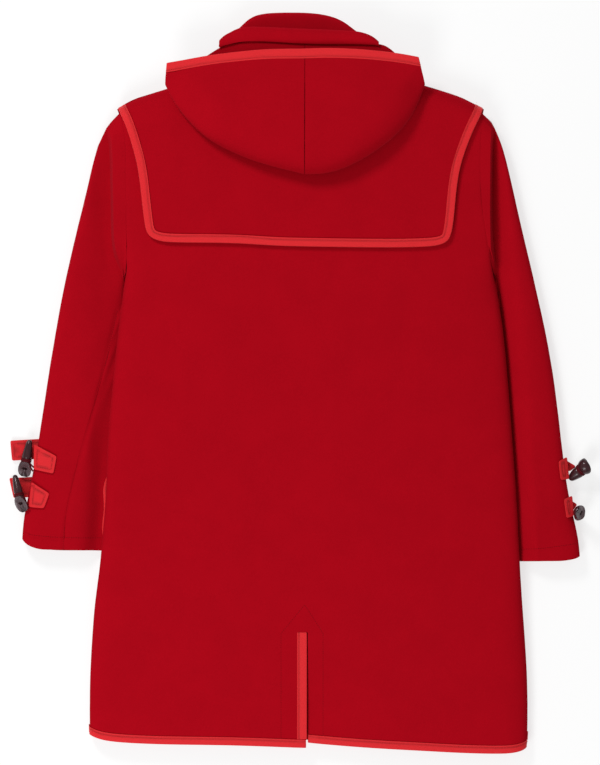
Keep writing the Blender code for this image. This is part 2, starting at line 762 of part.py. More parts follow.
def make_yoke():
    grid = []
    for v, roll in [(v, 90) for v in YOKE_ROWS] + [(1, a) for a in ROLL_ANGLES]:
        points = []
        for u in YOKE_COLUMNS:
            bottom = yoke_bottom(mix(YOKE_BOTTOM[0].x, YOKE_BOTTOM[-1].x, u))
            x_top = mix(YOKE_SIDES[-1].left, YOKE_SIDES[-1].right, u)
            top = top_of_back(x_top) + YOKE_RISE * shoulder_drop(x_top, -30)
            y = mix(bottom, top - SHOULDER_ROLL, v) + (v == 1) * SHOULDER_ROLL * (1 - run_in(roll))
            left = mix(YOKE_BOTTOM[0].y, 371 - SHOULDER_ROLL * (v < 1), v)
            right = mix(YOKE_BOTTOM[-1].y, 371 - SHOULDER_ROLL * (v < 1), v)
            if v == 1:
                left = right = y if u in (0, 1) else 371 - SHOULDER_ROLL * run_in(roll)
            x = mix(yoke_left(left), yoke_right(right), u)
            z = back_level(y) + body_folds(x, y) + YOKE_RISE
            z -= (z - SHOULDER_SEAM) * (1 - rise_in(roll)) * shoulder_drop(x_top, 12)
            points.append((x, y, z))
        grid.append(points)
    yoke = Panel(grid)
    rows, count = yoke.outer.shape[:2]
    for j in range(count):
        yoke.lay_level((rows - 1, j), shoulder_drop(yoke.outer[rows - 1, j, 0]))
    yoke.build("yoke")
    path = [(i, 0) for i in range(rows - 1, 0, -1)] + [(0, j) for j in range(count)]
    path += [(i, count - 1) for i in range(1, rows)]
    inside = [(min(max(i, 1), rows - 1), min(max(j, 1), count - 2)) for i, j in path]
    bind("yoke_tape", squared(edge_of(yoke, path, inside)), YOKE_TAPE_WIDTH, clear=0.5)


def make_vent_underlay():
    """The wing of the right half that lies under both flaps of the vent, with a pointed top."""
    low = -474.0
    grid = []
    for row in (low, -430, -385, VENT_TOP - 4, VENT_TOP):
        points = []
        for u in (-1, -0.5, 0, 0.5, 1):
            x = UNDERLAY_MIDDLE + u * UNDERLAY_HALF_WIDTH
            y = row
            if row == VENT_TOP:
                y = mix(VENT_POINT, VENT_TOP, abs(u))
            points.append((x, y, back_level(y) + body_folds(x, y) - UNDERLAY_DEPTH))
        grid.append(points)
    Panel(grid).build("vent_underlay")


# The sleeves

Ring = namedtuple("Ring", "hind fold inner fore")
RINGS_LEFT = [  # how far along each seam and fold a ring of the sleeve stands, by height
    Ring(150, 366.5, 150, 150),
    Ring(143, 354, 141, 138),
    Ring(135, 345, 132, 128),
    Ring(124, 322, 120, 118),
    Ring(114, 303, 110, 108),
    Ring(104, 283, 101, 99),
    Ring(68, 228, 66, 66),
    Ring(26, 165, 24, 24),
    Ring(-22, 96, -24, -24),
    Ring(-66, 26, -68, -68),
    Ring(-104, -38, -106, -106),
    Ring(-140, -98, -142, -142),
    Ring(-176, -152, -178, -178),
    Ring(-204, -190, -206, -206),
    Ring(-227, -212, -230, -229),
]
RINGS_RIGHT = RINGS_LEFT[:4] + RINGS_LEFT[5:8] + [
    Ring(-18, 92, -20, -20),
    Ring(-64, 20, -66, -66),
    Ring(-104, -46, -106, -106),
    Ring(-142, -108, -144, -144),
    Ring(-180, -164, -182, -182),
    Ring(-214, -208, -218, -216),
    Ring(-242.5, -236, -246, -244),
]
HIND_GAP = 0.45  # at the armhole, whose walls twist
FORE_GAP = 1.1
SLEEVE_SEAM = 1.2  # between the sleeve's two pieces, whose seams run aslant
UNDER_COLUMNS = ((28, 0.04), (17, 0.1), (8, 0.16), (-2, 0.24))  # out from the body, or a share
FLAT_SHARES = (0, 0.08, 0.2, 0.38, 0.58, 0.8)
FORE_SHARES = (0.8, 0.62, 0.44, 0.26, 0.1, 0)
TUCK_END = (160, 143)  # heights at the underarm between which it comes in
SHELF_END = (150, 168)  # and those between which the sleeve head comes up to the body's height
LIFT_OUT = (296, 322)  # how far out, and between which heights, the sleeve lies on its straps
LIFT_HIGH = (0, -36)
LIFT_LOW = (-212, -196)
STEP = 4.5  # the fold beside the sleeve head comes down in this width
HEAD_UNDER = (16.0, 23.0)  # how far out the first two rings lie on the lower face
CUFF_FADE = 4  # how fast this curve fades out in the rings above
CUFF_CORNER = 6  # the power of the curve by which a cuff's edge turns up to its outer corner
SLEEVE_ROLL = 24.0
UNDER_ROLL = 11.0  # the roll of the lower half of the outer fold
FOLD_MIDDLE = 12.0


class Sleeve:
    """One sleeve: its seams, folds and faces as functions, for both of its pieces."""

    def __init__(self, side):
        self.side = side
        self.name = "left" if side < 0 else "right"
        self.rings = RINGS_LEFT if side < 0 else RINGS_RIGHT
        self.body = side_left if side < 0 else side_right
        self.head = head_left if side < 0 else head_right
        self.cuff_outer = arm_column(side, "outer")
        self.inner = arm_column(side, "inner")
        self.hind_seam = arm_column(side, "hind")
        self.fore_seam = arm_column(side, "fore")
        self.ledge = column(LEDGES, "y", self.name)
        self.valley_reach = valley_column(side, "reach")
        self.valley_near = valley_column(side, "near")
        self.valley_low = valley_column(side, "low")
        self.tuck_from = valley_column(side, "tuck")

    def outer(self, y):
        return self.head(y) if y > 163 else self.cuff_outer(y)

    def hind(self, k):
        y = self.rings[k].hind
        return np.array((self.hind_seam(y), y))

    def fold(self, k):
        y = self.rings[k].fold
        return np.array((self.outer(y), y))

    def fore(self, k):
        y = self.rings[k].fore
        return np.array((self.fore_seam(y), y))

    def inner_fold(self, k):
        y = self.rings[k].inner
        return np.array((self.inner(y), y))

    def head_ring(self, k, s, start):
        """A point of one of the first rings, which follow the armhole seam."""
        low, high = start(k), self.fold(k)
        y = mix(low[1], high[1], s)
        if start == self.hind:
            straight = self.ledge(y) + self.side * (0, STEP)[k - 1]
        else:
            straight = self.body(y) + self.side * HEAD_UNDER[k - 1]
        x = mix(mix(low[0], straight, ramp(s, 0.0, 0.16)), high[0], ramp(s, 0.86, 1.0))
        return np.array((x, y))

    def across(self, k, s, start):
        """A point of ring k between a seam (s = 0) and the outer fold (s = 1), seen from above."""
        if k <= 2:
            return self.head_ring(k, s, start)
        last = len(self.rings) - 1
        v = (k - 2) / (last - 2)
        sides = mix(start(k), self.fold(k), s)
        sides[1] = mix(start(k)[1], self.fold(k)[1], mix(s, s**CUFF_CORNER, v**CUFF_FADE))
        bow = self.head_ring(2, s, start) - mix(start(2), self.fold(2), s)
        return sides + (1 - v) * bow

    def top_height(self, x, y):
        """Height of the sleeve's upper face, away from its outer fold."""
        out = self.side * (x - self.body(y))
        valley = ramp(out, self.valley_reach(y), self.valley_near(y))
        free = mix(SLEEVE_FREE + body_folds(x, y), self.valley_low(y), valley)
        start = self.tuck_from(y)
        tuck = ramp(out, start, start - TUCK_RUN) * ramp(y, *TUCK_END)
        past = self.side * (x - self.ledge(y))
        shelf = ramp(past, STEP, 0) * ramp(y, *SHELF_END)
        return mix(mix(free, TUCKED, tuck), ARM_SHELF, shelf)

    def bottom_height(self, x, y):
        lift = SLEEVE_LIFT * ramp(abs(x), *LIFT_OUT)
        return lift * ramp(y, *LIFT_HIGH) * ramp(y, *LIFT_LOW)

    def fold_height(self, k):
        return mix(FOLD_MIDDLE, SHOULDER_SEAM, ramp(self.rings[k].fold, 240, 360))

    def armhole(self, back, front):
        """Points and normals along the edges of the back and of the front, up and down again."""
        hind = 0 if self.side < 0 else -1
        fore = -1 if self.side < 0 else 0
        first = BACK_ROWS.index(UNDERARM)
        low = FRONT_ROWS.index(UNDERARM)
        rows = [(back, (i, hind)) for i in range(first, back.outer.shape[0])]
        rows += [(front, (i, fore)) for i in range(front.outer.shape[0] - 2, low - 1, -1)]
        gaps = [HIND_GAP if p is back else FORE_GAP for p, _ in rows]
        points = [p.outer[at] + (self.side * gap, 0, 0) for gap, (p, at) in zip(gaps, rows)]
        return points, [p.normals[at] for p, at in rows]


def make_sleeve_upper(arm, back, front):
    points, normals = arm.armhole(back, front)
    grid = [points]
    for k in range(1, len(arm.rings)):
        middle = arm.fold_height(k)
        points = []
        width = np.linalg.norm(arm.fold(k) - arm.hind(k))
        shares = [(s * (1 - SLEEVE_ROLL / width), 90) for s in FLAT_SHARES]
        shares += [(1 - SLEEVE_ROLL * run_in(a) / width, a) for a in (90, 60, 35, 12)]
        for s, angle in shares:
            x, y = arm.across(k, s, arm.hind)
            points.append((x, y, mix(middle, arm.top_height(x, y), rise_in(angle))))
        width = np.linalg.norm(arm.fold(k) - arm.fore(k))
        shares = [(1 - UNDER_ROLL * run_in(a) / width, a) for a in (12, 45, 90)]
        shares += [(s * (1 - UNDER_ROLL / width), 90) for s in FORE_SHARES]
        for s, angle in shares:
            x, y = arm.across(k, s, arm.fore)
            points.append((x, y, mix(middle, arm.bottom_height(x, y), rise_in(angle))))
        grid.append(points)
    turn = -1 if arm.side < 0 else 1
    upper = Panel([row[::turn] for row in grid[::-1]])
    upper.normals[-1, 1:-1] = normals[::turn][1:-1]
    upper.normals[-1, (0, -1), 0] = 0
    upper.build("sleeve_upper_" + arm.name)
    return upper


def make_sleeve_under(arm, upper):
    """The under sleeve, between the hind and fore seams, most of it under the body."""
    grid = []
    half = TUCKED / 2
    for k in range(1, len(arm.rings)):
        hind, inner, fore = arm.hind(k), arm.inner_fold(k), arm.fore(k)
        points = []
        start = hind - (arm.side * SLEEVE_SEAM, 0)
        turn = inner + (arm.side * half, 0)
        edge = arm.body(hind[1])
        first, last = arm.side * (start[0] - edge), arm.side * (turn[0] - edge)
        outs = [first]
        for out, share in UNDER_COLUMNS:
            outs.append(min(out, mix(first, last, share)))
        outs += [mix(outs[-1], last, 0.5), last]
        for out in outs:
            x, y = edge + arm.side * out, mix(start[1], turn[1], (out - first) / (last - first))
            points.append((x, y, arm.top_height(x, y)))
        for angle in (50, 0, -50):
            x = inner[0] + arm.side * half * run_in(angle)
            z = half + half * math.copysign(rise_in(angle), angle)
            points.append((x, inner[1], z))
        end = fore - (arm.side * SLEEVE_SEAM, 0)
        for s in (0, 0.5, 1):
            points.append((*mix(turn, end, s), 0.0))
        grid.append(points)
    if arm.side < 0:
        grid = grid[::-1]
    else:
        grid = [row[::-1] for row in grid[::-1]]
    under = Panel(grid)
    hind, fore = (0, -1) if arm.side < 0 else (-1, 0)
    # Both pieces end square to the same line along each seam.
    for i in range(under.outer.shape[0]):
        under.normals[i, hind] = upper.normals[i, fore]
        under.normals[i, fore] = upper.normals[i, hind]
    under.build("sleeve_under_" + arm.name)


# The hood

HoodColumn = namedtuple("HoodColumn", "u mouth_x mouth_y out_x out_y")
HOOD_LEFT = [  # from the middle seam (u = 0) to the side: the mouth's edge and the lower fold
    HoodColumn(0.0, 6, 448.8, 6, 280),
    HoodColumn(0.15, -22, 448.8, -30, 288.5),
    HoodColumn(0.3, -50, 448.2, -64, 298),
    HoodColumn(0.45, -78, 445.5, -97, 312),
    HoodColumn(0.6, -106, 442.5, -127, 327.5),
    HoodColumn(0.75, -134, 438.5, -151, 351),
    HoodColumn(0.88, -159, 433.5, -170, 374),
    HoodColumn(1.0, -181, 430, -183.5, 402),
]
HOOD_RIGHT = [
    HoodColumn(0.0, 6, 448.8, 6, 280),
    HoodColumn(0.15, 30, 450, 42, 280.5),
    HoodColumn(0.3, 54, 449.5, 76, 295.5),
    HoodColumn(0.45, 78, 448.5, 104, 312.5),
    HoodColumn(0.6, 102, 446.5, 127, 330.5),
    HoodColumn(0.75, 125, 444, 146, 351),
    HoodColumn(0.88, 144, 441, 159, 374),
    HoodColumn(1.0, 160, 438, 168.5, 402),
]
HOOD_FLOOR = 40.0  # the lower face of the hood, on the yoke
HOOD_MOUTH = 15.0  # heights above the floor: at the mouth, the crown, the side and the folds
HOOD_CROWN = 36.0
HOOD_CROWN_AT = 0.62
HOOD_SIDE = 12.5
HOOD_FOLD = 11.0
HOOD_SIDE_FOLD = 6.0
HOOD_ROLL = 42.0
HOOD_UNDER_ROLL = 12.0
NECK_BAND_Y = 466.0  # where the hood's lower layer ends, inside the roll
NECK_BAND_HALF_WIDTH = 112.0


def hood_profile(share, u):
    """Height of the upper layer above the lower face, from the mouth to the lower fold."""
    crown = math.sin(math.pi / 2 * min(share / HOOD_CROWN_AT, 1))
    return mix(mix(HOOD_MOUTH, HOOD_CROWN, crown), HOOD_SIDE, u**3)


def make_hood(side):
    table = HOOD_LEFT if side < 0 else HOOD_RIGHT
    columns = []
    for c in table:
        mouth, out = np.array((c.mouth_x, c.mouth_y)), np.array((c.out_x, c.out_y))
        mouth[0] += side * SEAM / 2 * (c.u == 0)
        out[0] += side * SEAM / 2 * (c.u == 0)
        band_x = MIDDLE_X + 2 + side * (SEAM / 2 + (NECK_BAND_HALF_WIDTH + 2) * c.u)
        band = np.array((band_x, NECK_BAND_Y - 11 * c.u**2))
        length = np.linalg.norm(out - mouth)
        roll = min(HOOD_ROLL, length - EDGE_TAPE_WIDTH - 2)
        fold = mix(HOOD_FOLD, HOOD_SIDE_FOLD, c.u**2)
        points = []
        flat = 1 - roll / length
        tape = min(EDGE_TAPE_WIDTH / length, 0.8 * flat)
        for s in (0, tape, mix(tape, flat, 0.33), mix(tape, flat, 0.66), flat):
            x, y = mix(mouth, out, s)
            height = hood_profile(max(s - tape, 0), c.u) + folds(HOOD_FOLDS, x, y)
            points.append((x, y, HOOD_FLOOR + height))
        top = height
        for angle in (62, 36, 12):
            s = 1 - roll * run_in(angle) / length
            points.append((*mix(mouth, out, s), HOOD_FLOOR + mix(fold, top, rise_in(angle))))
        back = np.linalg.norm(out - band)
        for angle in (15, 50, 90):
            s = HOOD_UNDER_ROLL * run_in(angle) / back
            points.append((*mix(out, band, s), HOOD_FLOOR + fold * (1 - rise_in(angle))))
        for s in (0.4, 0.7, 1):
            points.append((*mix(out, band, s), HOOD_FLOOR))
        columns.append(points)
    if side < 0:
        columns = columns[::-1]
    rows = list(zip(*columns))
    hood = Panel(rows[::-1])
    hood.build("hood_left" if side < 0 else "hood_right", roughness=0.88)
    return hood


def make_hood_tape(left, right):
    last = left.outer.shape[0] - 1
    stations = []
    for hood in (left, right):
        line = [(last, j) for j in range(hood.outer.shape[1])]
        stations.append(edge_of(hood, line, [(last - 1, j) for _, j in line]))
    bind("hood_tape", stations[0][:-1] + stations[1], EDGE_TAPE_WIDTH, clear=0.4)


# The neck

Neck = namedtuple("Neck", "x front back")
NECK_ROLL = [  # the rolled edge inside the hood's mouth: its front fold and its lower edge
    Neck(-110, 463.5, 453),
    Neck(-104, 470, 455),
    Neck(-94, 475, 457.5),
    Neck(-82, 482, 460.5),
    Neck(-58, 482.5, 461.5),
    Neck(-25, 480.5, 459.5),
    Neck(15, 478.8, 457),
    Neck(54, 477.4, 457),
    Neck(76, 476.3, 457),
    Neck(90, 473, 456.5),
    Neck(100, 467.5, 456),
    Neck(106, 461.5, 454.5),
]
ROLL_TOP = 48.0
ROLL_LOW = 22.0
ROLL_SAG = 1.8
ROLL_TAIL = 26.0  # how far the roll runs on underneath
NECK_ROLL_WIDTH = 12.0

Throat = namedtuple("Throat", "x front")
THROAT = [
    Throat(-94, 473),
    Throat(-83, 483.5),
    Throat(-75, 491.5),
    Throat(-65, 499),
    Throat(-50, 503.4),
    Throat(-10, 504.6),
    Throat(22, 503.3),
    Throat(40, 499.5),
    Throat(54, 494.5),
    Throat(64, 488),
    Throat(72, 481.5),
    Throat(81, 475),
]
THROAT_TOP = 15.0
THROAT_ROLL = 10.0
THROAT_END = 432.0


def make_neck_roll():
    """The turned edge of the neck: it runs under, up round its front fold and back on top."""
    columns = []
    for c in NECK_ROLL:
        depth = c.front - c.back
        half = (ROLL_TOP - ROLL_LOW) / 2
        roll = min(NECK_ROLL_WIDTH, 0.55 * depth)
        points = [(c.x, c.back - ROLL_TAIL, ROLL_LOW)]
        for angle in (-90, -60, -30, 0, 30, 60, 90):
            z = ROLL_LOW + half * (1 + math.copysign(rise_in(angle), angle))
            points.append((c.x, c.front - roll * run_in(angle), z))
        points.append((c.x, mix(c.back, c.front - roll, 0.35), ROLL_TOP - ROLL_SAG / 3))
        points.append((c.x, c.back, ROLL_TOP - ROLL_SAG))
        columns.append(points)
    rows = list(zip(*columns))
    Panel(rows[::-1]).build("neck_roll")


def make_neck_front(fronts):
    """The front of the neck, folded at the throat with its outside on the surface below."""
    columns = []
    necklines = [front.outer[-1][np.argsort(front.outer[-1][:, 0])] for front in fronts]
    for c in THROAT:
        half = THROAT_TOP / 2
        start = max(np.interp(c.x, n[:, 0], n[:, 1], 0, 0) for n in necklines) + 2
        turn = c.front - THROAT_ROLL
        low = (start, mix(start, turn, 0.3), mix(start, turn, 0.7))
        points = [(c.x, y, YOKE_RISE * ramp(y, start + 30, start)) for y in low]
        for angle in (-90, -50, -15, 15, 50, 90):
            z = half * (1 + math.copysign(rise_in(angle), angle))
            points.append((c.x, c.front - THROAT_ROLL * run_in(angle), z))
        points += [(c.x, mix(turn, THROAT_END, s), THROAT_TOP) for s in (0.5, 1)]
        columns.append(points)
    rows = list(zip(*columns))
    Panel(rows[::-1]).build("neck_front")


# The fastenings

Turning = namedtuple("Turning", "share radius")
TOGGLE = [  # a horn toggle from its thin tail to its cut head
    Turning(0, 2.2),
    Turning(0.06, 3.5),
    Turning(0.4, 6.0),
    Turning(0.72, 7.9),
    Turning(0.88, 8.3),
    Turning(1, 5.2),
]
TOGGLE_SIDES = 8
PATCH_LIE = 4.0  # nearer the sleeve's outer fold than this, a patch runs straight on


def make_toggle(name, tail, head, size=1.0):
    tail, head = np.array(tail, float), np.array(head, float)
    axis = (head - tail) / np.linalg.norm(head - tail)
    flat = np.cross(axis, (0, 0, 1) if abs(axis[2]) < 0.9 else (0, 1, 0))
    flat /= np.linalg.norm(flat)
    other = np.cross(axis, flat)
    mesh = bmesh.new()
    rings = []
    for ring in TOGGLE:
        centre = mix(tail, head, ring.share)
        turn = [2 * math.pi * k / TOGGLE_SIDES for k in range(TOGGLE_SIDES)]
        round_it = [math.cos(t) * flat + math.sin(t) * other for t in turn]
        rings.append([mesh.verts.new(centre + size * ring.radius * way) for way in round_it])
    for one, two in zip(rings, rings[1:]):
        for k in range(TOGGLE_SIDES):
            m = (k + 1) % TOGGLE_SIDES
            mesh.faces.new([one[k], one[m], two[m], two[k]])
    mesh.faces.new(rings[0])
    mesh.faces.new(rings[-1])
    bmesh.ops.recalc_face_normals(mesh, faces=mesh.faces)
    return add_object(name, mesh, HORN, 0.25)


Corners = namedtuple("Corners", "high low")  # the two corners of one end of a strap
CuffRow = namedtuple("CuffRow", "name patch_in patch_out loop_root loop_tip tail head")
CUFFS_LEFT = [
    CuffRow(
        name="upper",
        patch_in=Corners((-331, -101), (-335.5, -124.5)),
        patch_out=Corners((-361.5, -85), (-362, -119)),
        loop_root=Corners((-326, -76), (-329, -103)),
        loop_tip=Corners((-396, -80), (-393.5, -107.5)),
        tail=(-368.6, -79, 15),
        head=(-377.4, -129, 13.5),
    ),
    CuffRow(
        name="lower",
        patch_in=Corners((-341, -151.5), (-348.5, -171.5)),
        patch_out=Corners((-365, -136), (-368.5, -170)),
        loop_root=Corners((-330, -128), (-331, -155)),
        loop_tip=Corners((-397.5, -131), (-391.5, -158.5)),
        tail=(-389.2, -126.5, 14),
        head=(-377.5, -176, 26),
    ),
]
CUFFS_RIGHT = [
    CuffRow(
        name="upper",
        patch_in=Corners((350, -108), (353, -133.5)),
        patch_out=Corners((361.5, -102), (364.5, -132)),
        loop_root=Corners((335, -90), (335, -116)),
        loop_tip=Corners((376, -115), (368, -122)),
        tail=(366.5, -132.5, 9.5),
        head=(393.5, -110, 22),
    ),
    CuffRow(
        name="lower",
        patch_in=Corners((357.5, -159.5), (361, -185)),
        patch_out=Corners((368.5, -155), (370.5, -182.5)),
        loop_root=Corners((340, -144), (340, -170)),
        loop_tip=Corners((378, -167), (371, -177)),
        tail=(377.5, -186, 5),
        head=(379.5, -174.5, 46),
    ),
]
PATCH_SHARES = (0, 0.3, 0.55, 0.8, 1)
LOOP_SHARES = (0, 0.4, 0.7, 1)
LOOP_SLOPE = 0.1
CUFF_PATCH_GAP = 1.0  # a patch bridges the facets of the sleeve's outer fold


def lying_on_sleeve(arm, x, y):
    """Height of a sleeve's upper face, its outer fold's roll included."""
    d = max(arm.side * (arm.outer(y) - x), PATCH_LIE)
    run = min(d / SLEEVE_ROLL, 1)
    rise = (1 - (1 - run) ** FULL) ** (1 / FULL)
    steep = ((1 - run) / rise) ** (FULL - 1) * (SLEEVE_FREE - FOLD_MIDDLE) / SLEEVE_ROLL
    beyond = max(PATCH_LIE - arm.side * (arm.outer(y) - x), 0)
    return mix(FOLD_MIDDLE, SLEEVE_FREE + body_folds(x, y), rise) - beyond * steep


def under_cuff(arm, x, y):
    """Height of the upper face of a strap that comes out from under a cuff, rising a little."""
    return SEAM + STRAP + LOOP_SLOPE * max(arm.side * (x - arm.outer(y)), 0)


def strap_between(root, tip, shares, height):
    """Two rows of points between the ends of a strap, seen from above, low row first."""
    rows = []
    for one, two in ((root.low, tip.low), (root.high, tip.high)):
        flat = [mix(np.array(one, float), np.array(two, float), s) for s in shares]
        rows.append([(*p, height(*p, s)) for p, s in zip(flat, shares)])
    return [sorted(row) for row in rows]


def make_cuff_fastenings(arm):
    """Two toggles at a cuff, each with the patch on top of the sleeve and the one below."""
    for row in CUFFS_LEFT if arm.side < 0 else CUFFS_RIGHT:
        name = "cuff_" + arm.name + "_" + row.name
        make_toggle(name + "_toggle", row.tail, row.head)
        on_sleeve = Panel(
            strap_between(
                row.patch_in, row.patch_out, PATCH_SHARES, lambda x, y, s: lying_on_sleeve(arm, x, y)
            )
        )
        patch = Panel(on_sleeve.moved_out(CUFF_PATCH_GAP + STRAP), STRAP)
        patch.build(name + "_patch", STRAP_RED, 0.75)
        loop = strap_between(
            row.loop_root, row.loop_tip, LOOP_SHARES, lambda x, y, s: under_cuff(arm, x, y)
        )
        Panel(loop, STRAP).build(name + "_loop", STRAP_RED, 0.75)


FRONT_FASTENINGS = (222.0, 120.0, 18.0, -84.0)
FRONT_TOGGLE_TAIL = -20.0
FRONT_TOGGLE_HEAD = 30.0
FRONT_TOGGLE_SIZE = 0.78
FRONT_TOGGLE_Z = 6.6
PATCH_HALF_WIDTH = 17.0
TONGUE_HALF_WIDTH = 4.0
TONGUE_GAP = 0.8  # between a tongue and its toggle
FRONT_PATCH = (-73.0, -38.0)  # a patch's ends, the farther one from the toggle first
FRONT_PATCH_Z = 8.0  # height of its tongue
FRONT_LOOP = (74.0, 56.0)
FRONT_LOOP_TURN = 47.5
FRONT_LOOP_Z = 9.0


def make_front_patch(name, side, y, far, near, tongue, tongue_z):
    """A patch under a front, with a tongue that reaches to the toggle."""
    rows = []
    for out in (-PATCH_HALF_WIDTH, -TONGUE_HALF_WIDTH, TONGUE_HALF_WIDTH, PATCH_HALF_WIDTH):
        points = []
        for x in (far, mix(far, near, 0.5), near, *tongue):
            z = front_height(side, x, y + out) - SEAM - STRAP
            if x in tongue:
                z = tongue_z
            points.append((x, y + out, z))
        rows.append(sorted(points, reverse=True))
    cut = range(len(tongue)) if side < 0 else range(2, 2 + len(tongue))
    Panel(rows, STRAP, [(i, j) for i in (0, 2) for j in cut]).build(name, STRAP_RED, 0.75)


def make_front_fastenings():
    """Four toggles under the fronts, which lie on them, each with a patch on either side."""
    for number, y in enumerate(FRONT_FASTENINGS, 1):
        name = f"front_{number}"
        tail = (FRONT_TOGGLE_TAIL, y, FRONT_TOGGLE_Z)
        head = (FRONT_TOGGLE_HEAD, y, FRONT_TOGGLE_Z)
        make_toggle(name + "_toggle", tail, head, FRONT_TOGGLE_SIZE)
        tip = (FRONT_TOGGLE_TAIL - TONGUE_GAP,)
        make_front_patch(name + "_patch", -1, y, *FRONT_PATCH, tip, FRONT_PATCH_Z)
        tip = (FRONT_LOOP_TURN, FRONT_TOGGLE_HEAD + TONGUE_GAP)
        make_front_patch(name + "_loop", 1, y, *FRONT_LOOP, tip, FRONT_LOOP_Z)


def main():
    for old in list(bpy.data.objects):
        bpy.data.objects.remove(old)
    back = make_back()
    make_vent_underlay()
    make_yoke()
    fronts = []
    for side in (-1, 1):
        fronts.append(make_front(side))
        arm = Sleeve(side)
        make_sleeve_under(arm, make_sleeve_upper(arm, back, fronts[-1]))
        make_cuff_fastenings(arm)
    make_hood_tape(make_hood(-1), make_hood(1))
    make_neck_roll()
    make_neck_front(fronts)
    make_front_fastenings()


if __name__ == "__main__":
    main()
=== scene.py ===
"""The finish of a hooded duffle coat that lies flat on its front.

Run as a script in Blender: it loads the coat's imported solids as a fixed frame, dresses each piece
with fine cloth, bindings, stitches and horn, and sets a plain stage. Lengths are in metres, but
paths seen from above and the toggles' profile are in millimetres.
"""

import json
import math

import bmesh
import bpy
import numpy as np
from bpy.props import FloatProperty, FloatVectorProperty, IntProperty, PointerProperty
from mathutils import Matrix, Vector, noise
from mathutils.bvhtree import BVHTree
from mathutils.geometry import convex_hull_2d
from mathutils.kdtree import KDTree

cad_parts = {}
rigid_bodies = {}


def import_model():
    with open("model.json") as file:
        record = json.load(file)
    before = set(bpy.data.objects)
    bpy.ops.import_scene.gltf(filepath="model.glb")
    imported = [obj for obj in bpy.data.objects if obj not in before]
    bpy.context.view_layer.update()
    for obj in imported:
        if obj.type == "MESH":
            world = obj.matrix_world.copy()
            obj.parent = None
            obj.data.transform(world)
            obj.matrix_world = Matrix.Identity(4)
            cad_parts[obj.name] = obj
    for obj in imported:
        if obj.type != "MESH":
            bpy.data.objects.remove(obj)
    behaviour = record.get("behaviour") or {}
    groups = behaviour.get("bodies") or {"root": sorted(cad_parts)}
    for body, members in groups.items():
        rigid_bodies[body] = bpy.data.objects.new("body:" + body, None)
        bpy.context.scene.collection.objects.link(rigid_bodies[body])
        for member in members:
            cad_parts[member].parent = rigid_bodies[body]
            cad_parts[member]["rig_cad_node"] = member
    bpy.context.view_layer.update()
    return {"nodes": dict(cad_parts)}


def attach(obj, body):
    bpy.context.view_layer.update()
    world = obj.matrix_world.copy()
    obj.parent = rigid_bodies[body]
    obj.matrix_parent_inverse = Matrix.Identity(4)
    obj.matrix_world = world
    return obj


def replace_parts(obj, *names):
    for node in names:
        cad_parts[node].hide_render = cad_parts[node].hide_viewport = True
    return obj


bl_info = {
    "name": "Duffle Coat Finish",
    "version": (1, 0, 0),
    "blender": (4, 5, 0),
    "location": "View3D > Sidebar > Coat",
    "description": "Dresses the solids of a duffle coat with cloth, bindings, stitches and horn",
    "category": "Object",
}

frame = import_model()

MM = 0.001
MERGE = 1e-6  # points nearer than this are one
SHARP = math.radians(50)  # an edge that bends more than this is a cut or a fold
UP = Vector((0, 0, 1))
ABOVE = 0.3  # a height over the whole coat, from which places on it are found
LOOKS_UP = 0.3  # a face whose normal rises more than this shows from above


# Sizes and colours that a user may change


def colour(name, description, default):
    return FloatVectorProperty(
        name=name, description=description, subtype="COLOR", size=3, min=0, max=1, default=default
    )


def length(name, description, default):
    return FloatProperty(
        name=name,
        description=description,
        subtype="DISTANCE",
        unit="LENGTH",
        min=0,
        default=default,
    )


def power(name, default):
    return FloatProperty(name=name, description="Power", unit="POWER", default=default, min=0)


def strength(name, description, default):
    return FloatProperty(name=name, description=description, default=default, min=0)


def count(name, description, default, least, most):
    return IntProperty(name=name, description=description, default=default, min=least, max=most)


class CoatCloth(bpy.types.PropertyGroup):
    wool: colour("Wool", "Colour of the felted wool", (0.350, 0.0024, 0.0082))
    wool_deep: colour("Wool, deep", "Colour between the fibres", (0.240, 0.0016, 0.0055))
    tape: colour("Tape", "Colour of the binding tape", (0.66, 0.010, 0.016))
    strap: colour("Straps", "Colour of the felt patches", (0.62, 0.009, 0.015))
    # the thread is darker than the wool, partly its own colour and partly painted shade along the
    # sewn lines
    thread: colour("Thread", "Colour of the sewing on the wool", (0.09, 0.0003, 0.002))
    fibre: length("Fibre", "Size of the felt's grain", 1.1 * MM)
    rim: length("Rim", "Rounding of a cut edge", 0.8 * MM)
    levels: count("Levels", "Fineness of the panels", 2, least=1, most=3)


class CoatSewing(bpy.types.PropertyGroup):
    pitch: length("Pitch", "From one stitch to the next", 3.1 * MM)
    reach: length("Stitch", "Length of one stitch", 2.2 * MM)
    thick: length("Thread", "Thickness of the thread", 0.6 * MM)
    inset: length("Inset", "From a tape's edge to its stitches", 2.6 * MM)
    box: length("Box inset", "From a patch's edge to its stitches", 4.6 * MM)


class CoatHorn(bpy.types.PropertyGroup):
    horn: colour("Horn", "Colour of the polished horn", (0.026, 0.007, 0.009))
    cut: colour("Cut horn", "Colour of the cut end", (0.080, 0.045, 0.052))
    cord: colour("Cord", "Colour of the cord that ties a toggle", (0.085, 0.004, 0.008))
    thick: length("Cord thickness", "Thickness of the cord", 2.2 * MM)
    sides: count("Sides", "Sides of a toggle", 28, least=12, most=64)


class CoatStage(bpy.types.PropertyGroup):
    height: length("Camera height", "Camera above the coat", 5.0)
    view: length("View", "Height of the view at the coat's face", 1.0404)
    floor: colour("Floor", "Colour of the surface", (0.25, 0.25, 0.25))
    glow: strength("Glow", "Light from the surface itself", 0.70)
    key: power("Key light", 38.0)
    low: power("Low light", 46.0)
    sky: strength("Sky", "Strength of the light all round", 0.47)
